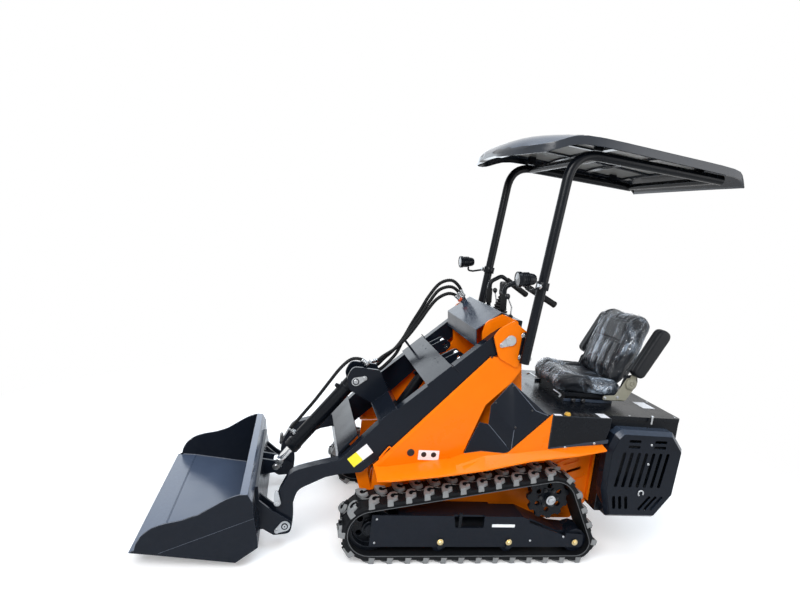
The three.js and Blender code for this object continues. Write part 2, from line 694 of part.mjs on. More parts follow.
/** Eight-sided guard with its cooling slots, on the side of the engine bay. */
function sideGuard() {
  const y0 = rearBodyHalfWidth - 6 + seatGap;
  const depth = 76;
  const face = [
    [-708, 720], [-968, 716], [-1034, 630], [-1022, 388], [-942, 267], [-698, 270], [-657, 409],
    [-654, 606], [-681, 693],
  ];
  const centre = [-845, 495];
  const grown = (corners, scale, y) => corners
    .map(([x, z]) => [centre[0] + (x - centre[0]) * scale, y, centre[1] + (z - centre[1]) * scale]);
  const shell = hull([...grown(face, 1.07, y0), ...grown(face, 1.07, y0 + depth - 20),
    ...grown(face, 1, y0 + depth)]);
  const hollow = hull([...grown(face, 1.035, y0 - 5), ...grown(face, 1.035, y0 + depth - 24),
    ...grown(face, 0.97, y0 + depth - 5)]);
  const slot = (x0, z0, x1, z1, width) => {
    const geometry = new THREE.BoxGeometry(Math.hypot(x1 - x0, z1 - z0), 40, width);
    geometry.rotateY(-Math.atan2(z1 - z0, x1 - x0));
    geometry.translate((x0 + x1) / 2, y0 + depth, (z0 + z1) / 2);
    return solid(geometry);
  };
  const slots = [];
  for (let i = 0; i < 7; i += 1) {
    const x = -722 - i * 41;
    slots.push(slot(x + 24, 430, x, 622, 13));
  }
  [[-730, -800], [-880, -950]].forEach(([x0, x1]) => {
    [655, 682].forEach((z) => slots.push(slot(x0, z, x1, z, 12)));
  });
  for (let i = 0; i < 3; i += 1) {
    slots.push(slot(-700 - i * 34, 378, -714 - i * 34, 306, 13));
    slots.push(slot(-905 - i * 34, 378, -850 - i * 34, 300, 13));
  }
  return cut(shell, hollow, ...slots);
}

/** Rear side plate behind the track, with slanted slots and a bent rear edge. */
function rearSidePlate() {
  const y0 = hullHalfWidth + seatGap;
  const slot = (x, z) => [[x, z], [x - 85, z + 30], [x - 85, z + 14], [x, z - 16]].reverse();
  const face = plateXZ([
    [-395, 458], [-590, 545, 10], [-632, 545], [-632, 272], [-575, 262, 10], [-545, 300],
  ], y0, y0 + fenderSheet, [slot(-470, 478), slot(-492, 430), slot(-522, 385)]);
  const bend = plateXZ([
    [-626, 285], [-626, 540], [-632, 545], [-638, 545], [-638, 272], [-632, 272],
  ], y0, y0 + 32);
  return join(face, bend);
}

addPair('side_box', sideBox(), paint.charcoal);
addPair('console', console(), paint.black);
addMesh('engine_hood', geometryOf(engineHood()), paint.black);
addMesh('engine_housing', geometryOf(engineHousing()), paint.black);
addPair('side_guard', sideGuard(), paint.charcoal);
addPair('rear_side_plate', rearSidePlate(), paint.orange);

// ---------------------------------------------------------------- canopy

const postFoot = { x: -108, z: 1046 };
const postTop = { x: -203, z: 2118 };
const railRear = { x: -1037, z: 2084 };
const postX = (z) => postFoot.x
  + (postTop.x - postFoot.x) * ((z - postFoot.z) / (postTop.z - postFoot.z));

/** Two bent posts, their roof rails and cross tubes, and the bolted feet. */
function canopyFrame() {
  const r = postTube / 2;
  const side = (y) => tube([
    [postFoot.x, y, postFoot.z], [postTop.x, y, postTop.z], [railRear.x, y, railRear.z],
  ], r, 130, 12, 6);
  const crossbars = [[-330, railRear.z + 22], [railRear.x + 12, railRear.z]]
    .map(([x, z]) => bar([x, -postY, z], [x, postY, z], r - 5, 12));
  const foot = plateXZ([
    [-84, 1060, 12], [-90, 1200, 12], [-142, 1204, 12], [-140, 1056, 12],
  ], towerPlateOuterY + seatGap, towerPlateOuterY + 10);
  return join(side(postY), side(-postY), ...crossbars, foot, mirrorY(foot));
}

const roofSections = [           // x, half width, side edge, crown, depth of the side lip, wall
  [canopyFrontX, 150, roofZ - 92, 10, 26, 22],
  [canopyFrontX - 24, 285, roofZ - 88, 34, 32, 22],
  [canopyFrontX - 75, 400, roofZ - 76, 56, 40, 18],
  [canopyFrontX - 145, canopyHalfWidth - 22, roofZ - 62, 66, 42, 9],
  [canopyFrontX - 215, canopyHalfWidth - 3, roofZ - 30, 44, 42, 6],
  [canopyFrontX - 291, canopyHalfWidth, roofZ, 17, 42, 5],
  [canopyRearX + 480, canopyHalfWidth, roofZ - 29, 20, 42, 5],
  [canopyRearX + 60, canopyHalfWidth, roofZ - 57, 12, 42, 5],
  [canopyRearX + 34, canopyHalfWidth - 4, roofZ - 76, 6, 30, 5],
  [canopyRearX, canopyHalfWidth - 14, roofZ - 131, 2, 8, 5],
];

/** Moulded roof between its sections; a thicker wall gives the body that its ribs are cut from. */
function roofShell(extraWall) {
  const steps = 12;
  const ring = ([x, half, edge, crown, lip, wall]) => {
    const top = [];
    const under = [];
    for (let i = 0; i <= steps; i += 1) {
      const t = (i / steps) * 2 - 1;
      const z = edge + crown * (1 - Math.abs(t) ** 4);
      top.push([x, half * t, z]);
      under.push([x, (half - (i === 0 || i === steps ? 5 : 0)) * t, z - wall - extraWall]);
    }
    return [...top, [x, half, edge - lip], [x, half - 5, edge - lip], ...under.reverse(),
      [x, -half + 5, edge - lip], [x, -half, edge - lip]];
  };
  return loft(roofSections.map(ring));
}

const roofBolts = [-330, -900];   // x of the bolts that hold the roof on its rails
const railTop = (x) => postTop.z + postTube / 2
  + ((railRear.z - postTop.z) * (x - postTop.x)) / (railRear.x - postTop.x);

/** Roof with its ribs below and the pads that stand on the rails. */
function canopyRoof() {
  const [y, z0, z1] = [canopyHalfWidth - 12, 1990, roofZ + 40];
  const ribs = [
    ...[-470, -735, -1000].map((x) => box(x - 15, x + 15, -y, y, z0, z1)),
    ...[-150, 150].map((side) => box(-1000, -470, side - 12, side + 12, z0, z1)),
  ];
  const net = join(...ribs).intersect(roofShell(13));
  const pads = roofBolts.flatMap((x) => [-1, 1].map((side) => box(x - 22, x + 22,
    side * postY - 12, side * postY + 12, railTop(x + 22) + seatGap, z1)));
  return join(roofShell(0), net, join(...pads).intersect(roofShell(150)));
}

/** Closed body through rings with equally many points. */
function loft(rings) {
  const count = rings[0].length;
  const positions = rings.flat(2);
  const faces = [];
  for (let j = 0; j < rings.length - 1; j += 1) {
    for (let i = 0; i < count; i += 1) {
      const [a, b] = [j * count + i, j * count + ((i + 1) % count)];
      faces.push(a, b, b + count, a, b + count, a + count);
    }
  }
  const flat = rings[0].map(([, y, z]) => new THREE.Vector2(y, z));
  const last = (rings.length - 1) * count;
  const turn = Math.sign(THREE.ShapeUtils.area(flat));
  THREE.ShapeUtils.triangulateShape(flat, []).forEach(([a, b, c]) => {
    const same = Math.sign(THREE.ShapeUtils.area([flat[a], flat[b], flat[c]])) === turn;
    const [p, q] = same ? [b, c] : [c, b];
    faces.push(a, q, p, last + a, last + p, last + q);
  });
  const geometry = new THREE.BufferGeometry();
  geometry.setAttribute('position', new THREE.Float32BufferAttribute(positions, 3));
  geometry.setIndex(faces);
  return solidFacingOut(geometry);
}

/** Turns a closed mesh right side out. */
function solidFacingOut(geometry) {
  const body = solid(geometry);
  if (body.volume() > 0) return body;
  const index = Array.from(geometry.index.array);
  for (let i = 0; i < index.length; i += 3) [index[i + 1], index[i + 2]] = [index[i + 2], index[i + 1]];
  geometry.setIndex(index);
  return solid(geometry);
}

/** Round work lamp on its clamp, in front of a canopy post. */
function headlamp() {
  const lampX = -15;
  const lampY = 487;
  const lampZ = 1482;
  const shell = bar([lampX - 45, lampY, lampZ + 4], [lampX + 45, lampY, lampZ - 4], 24, 20, 37);
  const arm = bar([lampX - 42, lampY, lampZ], [-100, postY + 36, 1450], 7, 10);
  const clampZ = 1450;
  const collar = cut(
    bar([postX(clampZ - 18), postY, clampZ - 18], [postX(clampZ + 18), postY, clampZ + 18],
      postTube / 2 + 9, 18),
    bar([postX(clampZ - 60), postY, clampZ - 60], [postX(clampZ + 60), postY, clampZ + 60],
      postTube / 2 + 0.8, 18),
  );
  const lug = box(postX(clampZ) - 12, postX(clampZ) + 52, postY + postTube / 2 + 4, postY + 40,
    clampZ - 8, clampZ + 8);
  return join(shell, arm, collar, lug);
}

addMesh('canopy_frame', geometryOf(canopyFrame()), paint.black);
addMesh('canopy_roof', geometryOf(canopyRoof()), paint.plastic);
addPair('headlamp', headlamp(), paint.black);

// ---------------------------------------------------------------- seat and controls

/** Suspension box that carries the seat, with the hinge plates of the back. */
function seatBase() {
  const { x, z } = seatHinge;
  const pedestal = box(-760, -490, -170, 170, deckZ + seatGap, seatDeckZ - 18);
  const tray = box(x + 20, seatFrontX - 40, -200, 200, seatDeckZ - 19, seatDeckZ);
  const half = seatWidth / 2 + seatGap;
  const hingePlate = plateXZ([
    [x + 135, seatDeckZ - 18], [x + 135, seatDeckZ + 2, 8], [x + 60, seatDeckZ + 22, 30],
    [x + 34, z + 45, 24], [x - 40, z + 62, 24], [x - 52, z + 8, 24], [x - 8, z - 40, 20],
    [x + 12, seatDeckZ - 18, 10],
  ], half, half + 8);
  const foot = box(x + 25, x + 120, 190, half + 4, seatDeckZ - 18.5, seatDeckZ - 1);
  return join(pedestal, tray, foot, hingePlate, mirrorY(hingePlate), mirrorY(foot));
}

function seatCushion() {
  const half = seatWidth / 2;
  return plateXZ([
    [seatFrontX, 905, 40], [seatFrontX + 10, seatDeckZ + seatGap, 20],
    [cushionRearX, seatDeckZ + seatGap, 20], [cushionRearX - 5, 926, 20], [-500, 942, 30],
  ], -half, half);
}

/** Padded back: its outline starts above the cushion and leans to the rear. */
function seatBack() {
  const half = seatWidth / 2;
  const { x, z } = seatHinge;
  return plateXZ([
    [x + 90, z + 42, 14], [x - 20, z + 370, 40], [x - 95, z + 392, 50], [x - 145, z + 335, 40],
    [x - 35, z + 5, 30], [x + 5, z + 5, 16],
  ], -half, half);
}

/** Padded armrest folded up beside the back. */
function armrest() {
  const { x, z } = seatHinge;
  const [y0, y1] = [seatWidth / 2 + 20, seatWidth / 2 + 70];
  const pad = plateXZ([
    [x + 24, z + 78, 25], [x - 104, z + 335, 30], [x - 162, z + 305, 30], [x - 30, z + 54, 25],
  ], y0, y1);
  const pivot = barY(x - 12, z + 95, 14, seatWidth / 2 + seatGap, y0 + 8);
  return join(pad, pivot);
}

/** Bent hand rail behind the tower. */
function handRail() {
  return tube([
    [-70, 120, 1251], [-60, 120, 1400], [-130, 130, 1440], [-330, 200, 1335],
  ], 15, 40, 10, 4);
}

/** Control box behind the cover, with its joystick. */
function controlBox() {
  const half = towerSlab.y0 - seatGap;
  const body = plateXZ([
    [-46, 1190], [-46, 1250], [-122, 1246], [-120, 1190],
  ], -half, half);
  const boot = turnedZ(-95, 0, [[0, 1240], [42, 1240], [34, 1262], [38, 1272], [26, 1292],
    [28, 1302], [14, 1322], [9, 1330], [9, 1375], [18, 1385], [20, 1410], [0, 1420]]);
  return join(body, boot);
}

/** Turned piece on a Z axis: profile rows are [radius, z]. */
function turnedZ(x, y, profile, sides = 20) {
  const geometry = new THREE.LatheGeometry(profile.map(([r, z]) => new THREE.Vector2(r, z)), sides);
  geometry.rotateX(Math.PI / 2);
  geometry.translate(x, y, 0);
  return solid(geometry);
}

addMesh('seat_base', geometryOf(seatBase()), paint.black);
addMesh('seat_cushion', geometryOf(seatCushion()), paint.vinyl);
addMesh('seat_back', geometryOf(seatBack()), paint.vinyl);
addPair('armrest', armrest(), paint.vinyl);
addPair('hand_rail', handRail(), paint.black);
addMesh('control_box', geometryOf(controlBox()), paint.black);

// ---------------------------------------------------------------- boom

const beamInnerY = boomOuterY - boomBeamWidth;

/** One side of the boom: tapered beam and goose-neck down to the bucket pin. */
function boomBeam() {
  const pin = bucketPin;
  return plateXZ([
    [boomPivot.x - 48, boomPivot.z + 10, 40], [boomPivot.x + 20, boomPivot.z + 62, 40],
    [56, 1166], [607, 661], [768, 476, 20], [859, 452], [927, 432, 60], [1010, 405, 90],
    [1056, 300, 60], [1068, 250, 60], [pin.x + 44, pin.z + 30, 30], [pin.x + 36, pin.z - 40, 40],
    [pin.x - 36, pin.z - 40, 40], [pin.x - 38, pin.z + 50, 40], [985, 240, 60], [970, 310, 70],
    [838, 380, 60], [769, 398, 20], [657, 412, 20], [494, 572], [28, 1066, 20],
    [boomPivot.x - 40, boomPivot.z - 50, 40],
  ], beamInnerY, boomOuterY, [circleCorners(boomPivot.x, boomPivot.z, boomPinRadius + 1),
    circleCorners(pin.x, pin.z, bucketPinRadius + 1)]);
}

/** Point on the boom's upper edge line at a distance from its rear, moved square to it. */
function onBeam(distance, off) {
  const [ax, az, bx, bz] = [56, 1166, 607, 661];
  const length = Math.hypot(bx - ax, bz - az);
  const [dx, dz] = [(bx - ax) / length, (bz - az) / length];
  return [ax + dx * distance - dz * off, az + dz * distance + dx * off];
}

function boom() {
  const inner = beamInnerY + 2;
  const cross = (d0, d1, off0, off1, half = inner) => plateXZ(
    [onBeam(d0, off0), onBeam(d1, off0), onBeam(d1, off1), onBeam(d0, off1)], -half, half,
  );
  const channel = (d0, d1, depth) => join(
    cross(d0, d1, -1, plate + 2, boomOuterY),
    cross(d0, d0 + plate, -depth, plate),
    cross(d1 - plate, d1, -depth, plate),
  );
  const midPlate = channel(262, 420, 45);
  const frontPlate = channel(614, 728, 88);
  const apron = plateXZ([
    [763, 400], [771, 400], [780, 492], [692, 596], [686, 590], [766, 488],
  ], -inner, inner);
  const hoseClip = plateXZ([
    onBeam(360, plate), onBeam(372, plate), [hoseClipX - 4.5, hoseClipZ - 12.9],
    [hoseClipX - 12.8, hoseClipZ - 1.6],
  ], -boomOuterY + 50, -boomOuterY + 114);
  const eyeBrackets = [-1, 1].flatMap((side) => [-1, 1].map((edge) => {
    const y = side * liftCylinderY + edge * (liftEyeHalf + runGap + plate / 2);
    return plateXZ([
      [liftEye.x - 40, liftEye.z + 6, 30], [liftEye.x + 6, liftEye.z + 40, 30], onBeam(302, 12),
      onBeam(380, -38), onBeam(300, -38), [liftEye.x, liftEye.z - 42, 30],
    ], y - plate / 2, y + plate / 2, [circleCorners(liftEye.x, liftEye.z, liftPinRadius)]);
  }));
  const bracket = [-1, 1].map((side) => plateXZ([
    onBeam(618, 0), [534, 803, 10], [572, 872, 20], [722, 884, 40], [748, 818, 40], [725, 750, 30],
    onBeam(722, 0),
  ], side * 62 - 7, side * 62 + 7));
  const web = plateXZ([
    onBeam(640, -10), [560, 800], [585, 850], [625, 850], [640, 770], onBeam(722, -10),
  ], -56, 56);
  const basePin = barY(tiltBase.x, tiltBase.z, 18, -75, 75);
  const bracketBody = join(...bracket, basePin);
  return join(boomBeam(), mirrorY(boomBeam()), midPlate, frontPlate, apron, ...eyeBrackets,
    bracketBody, web, hoseClip);
}

addMesh('boom', geometryOf(boom()), paint.charcoal);

/** Curve through points as one round hose. */
function hose(points, radius, steps) {
  const curve = new THREE.CatmullRomCurve3(points.map((q) => new THREE.Vector3(...q)));
  return sweep(curve.getSpacedPoints(steps), radius, 8);
}

boomHoses.forEach((points, i) => {
  addMesh(`boom_hose_${i + 1}`, geometryOf(hose(points, hoseRadius, 28)), paint.black);
});

// ---------------------------------------------------------------- cylinders

/** Barrel and rod between two pins, with a running gap between them. */
function cylinder({ y, base, eye, barrelR, rodR, barrelLength, stroke, eyeHalf, baseR, eyeR, pinR }) {
  const length = Math.hypot(eye.x - base.x, eye.z - base.z);
  const [dx, dz] = [(eye.x - base.x) / length, (eye.z - base.z) / length];
  const at = (s) => [base.x + dx * s, y, base.z + dz * s];
  const rodEnd = barrelLength - stroke - 2 * rodR;
  const bore = bar(at(rodEnd - 2 * rodR), at(barrelLength + 5), rodR + 1, 20);
  const eyeRing = (p, r, hole, half) => cut(barY(p.x, p.z, r, y - half, y + half),
    barY(p.x, p.z, hole, y - half - 2, y + half + 2));
  const barrel = cut(join(bar(at(baseR * 0.7), at(barrelLength), barrelR, 24),
    bar(at(barrelLength - 18), at(barrelLength + 4), barrelR + 3, 24),
    barY(base.x, base.z, baseR, y - eyeHalf, y + eyeHalf)), bore,
  barY(base.x, base.z, pinR + 1, y - eyeHalf - 2, y + eyeHalf + 2));
  const rod = join(bar(at(rodEnd), at(length - eyeR * 0.8), rodR, 20),
    eyeRing(eye, eyeR, pinR + seatGap, eyeHalf));
  return { barrel, rod };
}

const liftPair = cylinder({
  y: liftCylinderY, base: liftBase, eye: liftEye, barrelR: 32, rodR: 17,
  barrelLength: 590, stroke: liftStroke, eyeHalf: liftEyeHalf, baseR: 30, eyeR: 31,
  pinR: liftPinRadius,
});
const tiltPair = cylinder({
  y: 0, base: tiltBase, eye: tiltEye, barrelR: 40, rodR: 20,
  barrelLength: 520, stroke: tiltStroke, eyeHalf: 28, baseR: 34, eyeR: 32, pinR: 18,
});

/** Hose from the tilt bracket to the front port of the tilt cylinder. */
const tiltHose = [
  [640, 20, 892], [676, 22, 915], [730, 26, 912], [785, 26, 858], [845, 24, 765],
  [905, 20, 668], [958, 14, 590], [1005, 8, 520], [1024, 2, 486], [1002.1, 0, 466.4],
];

addPair('lift_barrel', liftPair.barrel, paint.black);
addPair('lift_rod', liftPair.rod, paint.chrome);
addMesh('tilt_barrel', geometryOf(tiltPair.barrel), paint.black);
addMesh('tilt_rod', geometryOf(tiltPair.rod), paint.chrome);
addMesh('tilt_hose', geometryOf(hose(tiltHose, hoseRadius - 1, 18)), paint.black);

// ---------------------------------------------------------------- bucket and its carrier

const bucketBack = [            // x and z of the bucket's outer back, from heel to lip
  [1133, 108], [1140, 160], [1165, 257], [1175, 332],
];

/** Quick-attach plate with its ears for the boom's arms and the tilt rod. */
function carrier() {
  const half = boomOuterY + 6 + heavyPlate;
  const front = bucketBack.map(([x, z]) => [x - 0.4, z]);
  const rear = bucketBack.map(([x, z]) => [x - 14.4, z]).reverse();
  const back = plateXZ([...front, ...rear], -half, half);
  const ear = (y0, y1) => plateXZ([
    [1156, 262], [1090, 210, 30], [bucketPin.x - 38, bucketPin.z + 20, 30],
    [bucketPin.x - 30, bucketPin.z - 40, 30], [bucketPin.x + 50, 76, 20], [1124, 110],
  ], y0, y1);
  const outerEar = ear(boomOuterY + 6, boomOuterY + 6 + heavyPlate);
  const innerEar = ear(beamInnerY - 6 - heavyPlate, beamInnerY - 6);
  const rodEar = (side) => plateXZ([
    [1170, 330], [1110, 322, 20], [tiltEye.x - 26, tiltEye.z + 24, 26],
    [tiltEye.x - 22, tiltEye.z - 30, 26], [1152, 240],
  ], side * 42 - 7, side * 42 + 7);
  const pins = barY(bucketPin.x, bucketPin.z, bucketPinRadius, beamInnerY - 6 - heavyPlate + 1,
    boomOuterY + 6 + heavyPlate + 8);
  return join(back, outerEar, innerEar, mirrorY(outerEar), mirrorY(innerEar), rodEar(1), rodEar(-1),
    pins, mirrorY(pins));
}

/** Bucket: bent sheet between two side plates with curved tops. */
function bucket() {
  const half = bucketWidth / 2;
  const outside = [
    [bucketTipX, 81], [1590, 71], [1230, 31], ...bucketBack, [1199, 372], [1233, 372],
  ];
  const inside = [
    [1233, 364], [1206, 362], [1184, 330], [1174, 255], [1149, 159], [1143, 112], [1234, 40],
    [1590, 81],
  ];
  const sheet = plateXZ([...outside, ...inside], -half + 1, half - 1);
  const cheekOutline = [
    [bucketTipX - 6, 81], [1590, 71], [1230, 31], ...bucketBack, [1199, 370], [1237, 369],
    [1292, 346], [1352, 307], [1412, 267], [1481, 241], [1554, 223], [1609, 200], [1650, 163],
    [1670, 123], [1676, 92],
  ];
  const cheek = plateXZ(cheekOutline, half - bucketSheet, half);
  return join(sheet, cheek, mirrorY(cheek));
}

addMesh('carrier', geometryOf(carrier()), paint.charcoal);
addMesh('bucket', geometryOf(bucket()), paint.charcoal);

// ---------------------------------------------------------------- whole machine

group.position.x = -(bucketTipX + canopyRearX) / 2;

export default group;
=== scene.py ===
"""Studio model of a compact ride-on skid steer loader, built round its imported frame.

The frame gives every rigid piece at its real place. This script rounds the edges of the
sheet-metal pieces, models what is soft, turned, coiled or fastened, and gives each surface
its finish. Lengths are in metres; +X points forward, +Y to the machine's left and +Z up.
The classes hold their sizes in millimetres from the middle of the tracks' ground contact.
"""
import json
import logging
import math
from contextlib import contextmanager
from dataclasses import dataclass, field
from enum import Enum
from typing import Callable, Iterator, Sequence

import bpy
from mathutils import Matrix, Vector
from mathutils import noise as pattern
from mathutils.bvhtree import BVHTree

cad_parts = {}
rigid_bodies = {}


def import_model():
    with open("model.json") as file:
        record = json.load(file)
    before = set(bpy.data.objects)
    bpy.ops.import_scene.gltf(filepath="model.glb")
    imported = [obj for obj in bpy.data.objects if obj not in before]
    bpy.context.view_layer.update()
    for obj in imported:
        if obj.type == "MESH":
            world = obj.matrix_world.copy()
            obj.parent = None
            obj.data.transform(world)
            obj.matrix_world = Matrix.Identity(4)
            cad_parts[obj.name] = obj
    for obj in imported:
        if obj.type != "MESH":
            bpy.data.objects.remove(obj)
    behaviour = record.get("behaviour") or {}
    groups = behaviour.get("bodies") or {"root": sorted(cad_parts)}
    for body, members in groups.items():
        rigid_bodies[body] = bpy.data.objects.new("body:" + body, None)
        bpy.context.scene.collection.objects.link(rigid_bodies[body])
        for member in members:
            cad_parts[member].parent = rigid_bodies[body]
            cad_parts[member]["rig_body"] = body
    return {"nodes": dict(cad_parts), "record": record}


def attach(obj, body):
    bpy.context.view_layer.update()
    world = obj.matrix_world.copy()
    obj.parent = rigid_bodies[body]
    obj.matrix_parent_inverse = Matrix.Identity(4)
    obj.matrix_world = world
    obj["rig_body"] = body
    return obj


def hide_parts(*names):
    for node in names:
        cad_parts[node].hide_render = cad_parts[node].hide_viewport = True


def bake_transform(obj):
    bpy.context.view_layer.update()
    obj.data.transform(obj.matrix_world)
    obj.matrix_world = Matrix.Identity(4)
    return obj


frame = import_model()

logging.basicConfig(level=logging.INFO, format="%(message)s")
LOG = logging.getLogger("loader")

Point = tuple[float, float, float]
Flat = tuple[float, float]
Colour = tuple[float, float, float, float]
Item = bpy.types.Object
Face = bpy.types.MeshPolygon
Tree = bpy.types.NodeTree
Node = bpy.types.Node
Socket = bpy.types.NodeSocket

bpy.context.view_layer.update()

MM = 0.001
POINTED = 1e-4              # the least radius of a turned piece
FLAT_WEIGHT = 60               # weight that keeps large faces flat in shading
TRACK_MIDDLE_X = -0.29      # the middle of the tracks' ground contact, in the frame
UP: Point = (0, 0, 1)
LEFTWARD: Point = (0, 1, 0)


class Side(Enum):
    """The two sides of the machine, each with the sign of its Y."""

    LEFT = 1
    RIGHT = -1

    @property
    def word(self) -> str:
        """The side's word in node names."""
        return self.name.lower()


class Body(Enum):
    """The moving bodies that pieces ride on."""

    CHASSIS = "chassis"
    BOOM = "boom"
    BUCKET = "bucket"
    TILT_BARREL = "tilt_barrel"
    LIFT_BARREL_LEFT = "lift_barrel_left"
    LIFT_BARREL_RIGHT = "lift_barrel_right"
    SEAT_BACK = "seat_back"
    ARMREST_LEFT = "armrest_left"
    ARMREST_RIGHT = "armrest_right"


CHASSIS_PAIR = (Body.CHASSIS, Body.CHASSIS)
BUCKET_PAIR = (Body.BUCKET, Body.BUCKET)


def spot(x: float, y: float, z: float) -> Point:
    """A place in millimetres from the middle of the tracks' ground contact, in the frame's metres."""
    return (x * MM + TRACK_MIDDLE_X, y * MM, z * MM)


def side_view(*corners: Flat) -> list[Flat]:
    """X and Z in millimetres from the middle of the tracks' ground contact, in the frame's metres."""
    return [(x * MM + TRACK_MIDDLE_X, z * MM) for x, z in corners]


# ------------------------------------------------------------------ modelling bench


def deselect() -> None:
    """Clears the selection, which operators act on."""
    for item in bpy.context.selected_objects:
        item.select_set(False)


def activate(item: Item) -> Item:
    """Makes one object the only selected and active one.

    Args:
        item: The object.

    Returns:
        The same object.
    """
    deselect()
    item.select_set(True)
    bpy.context.view_layer.objects.active = item
    return item


@contextmanager
def editing(choice: str = "") -> Iterator[None]:
    """Edit mode for a while, with everything in it first SELECTed or DESELECTed if asked."""
    bpy.ops.object.mode_set(mode="EDIT")
    if choice:
        bpy.ops.mesh.select_all(action=choice)
    yield
    bpy.ops.object.mode_set(mode="OBJECT")


def named(item: Item, name: str) -> Item:
    """Names an object and its mesh."""
    item.name = name
    item.data.name = name
    return item


def linked(name: str, data: bpy.types.ID) -> Item:
    """A new object in the scene, made of a mesh, a curve, a lamp or a camera."""
    item = bpy.data.objects.new(name, data)
    bpy.context.scene.collection.objects.link(item)
    return item


def apply_modifier(item: Item, kind: str, **settings: object) -> None:
    """Adds one modifier and applies it.

    Args:
        item: The object to change.
        kind: The modifier's type, such as BEVEL.
        **settings: Its values by attribute name.
    """
    activate(item)
    modifier = item.modifiers.new(kind.title(), kind)
    for key, value in settings.items():
        setattr(modifier, key, value)
    bpy.ops.object.modifier_apply(modifier=modifier.name)


def apply_place(item: Item) -> Item:
    """Moves an object's place, turn and scale into its mesh."""
    activate(item)
    bpy.ops.object.transform_apply(location=True, rotation=True, scale=True)
    return item


def round_edges(item: Item, width: float, segments: int = 2, angle: float = 30.0,
        material: int = -1) -> None:
    """Rounds edges that turn by more than an angle in degrees; they can have a material of their own."""
    apply_modifier(item, "BEVEL", width=width, segments=segments, limit_method="ANGLE", material=material,
        angle_limit=math.radians(angle), miter_outer="MITER_ARC", harden_normals=False,
        use_clamp_overlap=True)


def smooth(item: Item, angle: float = 35.0) -> Item:
    """Shades a mesh smooth, except where it turns by more than an angle in degrees."""
    activate(item)
    bpy.ops.object.shade_smooth_by_angle(angle=math.radians(angle))
    return item


def joined(name: str, items: Sequence[Item]) -> Item:
    """Joins objects into one.

    Args:
        name: Name of the result.
        items: The objects; the first keeps its place.

    Returns:
        The joined object.
    """
    deselect()
    for item in items:
        item.select_set(True)
    bpy.context.view_layer.objects.active = items[0]
    if len(items) > 1:
        bpy.ops.object.join()
    return named(items[0], name)


def copied(item: Item, shift: Point = (0, 0, 0), mirror_y: bool = False) -> Item:
    """Copies an object with a mesh of its own, moved or mirrored across the machine.

    Args:
        item: The object to copy.
        shift: How far the copy moves.
        mirror_y: Whether the copy is the mirror image across the XZ plane.

    Returns:
        The copy.
    """
    twin = item.copy()
    twin.data = item.data.copy()
    bpy.context.scene.collection.objects.link(twin)
    twin.data.transform(Matrix.Translation(shift))
    if mirror_y:
        twin.data.transform(Matrix.Scale(-1, 4, (0, 1, 0)))
        twin.data.flip_normals()
    return twin


def stamped(item: Item, places: Sequence[Matrix]) -> list[Item]:
    """A piece modelled round the origin, set at the first place, and its copies at the others."""
    twins = [copied(item) for _ in places[1:]]
    for twin, place in zip((item, *twins), places):
        twin.data.transform(place)
    return [item, *twins]


def block(low: Point, high: Point, round_by: float = 0.002, segments: int = 2) -> Item:
    """A box between two corners, with rounded edges.

    Args:
        low: Lowest corner.
        high: Highest corner.
        round_by: Width of the edge rounding.
        segments: Steps across the rounding.

    Returns:
        The new object.
    """
    bpy.ops.mesh.primitive_cube_add(size=1)
    item = bpy.context.active_object
    item.location = [(a + b) / 2 for a, b in zip(low, high)]
    item.scale = [b - a for a, b in zip(low, high)]
    apply_place(item)
    if round_by:
        round_edges(item, round_by, segments)
    return item


def walled(rings: Sequence[Sequence[Point]], thickness: float) -> Item:
    """A sheet wall drawn from a first closed ring and extruded through the others.

    Args:
        rings: Rings with equally many points, in order.
        thickness: Thickness of the sheet.

    Returns:
        The new object.
    """
    first, *rest = rings
    bpy.context.tool_settings.mesh_select_mode = (True, False, False)
    deselect()
    bpy.ops.mesh.primitive_circle_add(vertices=len(first), radius=1, fill_type="NOTHING")
    item = apply_place(bpy.context.active_object)
    for vertex, place in zip(item.data.vertices, first):
        vertex.co = place
    before = first
    for ring in rest:
        with editing("SELECT" if before is first else ""):
            bpy.ops.mesh.extrude_region_move()
        for vertex in item.data.vertices:
            if vertex.select:
                nearest = min(range(len(before)), key=lambda k: (vertex.co - Vector(before[k])).length)
                vertex.co = ring[nearest]
        before = ring
    tidy_mesh(item)
    apply_modifier(item, "SOLIDIFY", thickness=thickness, offset=0.0)
    return item


def sheet_patch(columns: int, rows: int, surface: Callable[[float, float], Point]) -> Item:
    """An open grid of columns and rows laid onto a surface, for parameters from 0 to 1."""
    bpy.ops.mesh.primitive_grid_add(x_subdivisions=columns, y_subdivisions=rows, size=1)
    item = apply_place(bpy.context.active_object)
    for vertex in item.data.vertices:
        vertex.co = surface(vertex.co.x + 0.5, vertex.co.y + 0.5)
    return item


def aim(axis: Point) -> Matrix:
    """Rotation that turns +Z to an axis."""
    return Vector(axis).to_track_quat("Z", "Y").to_matrix().to_4x4()


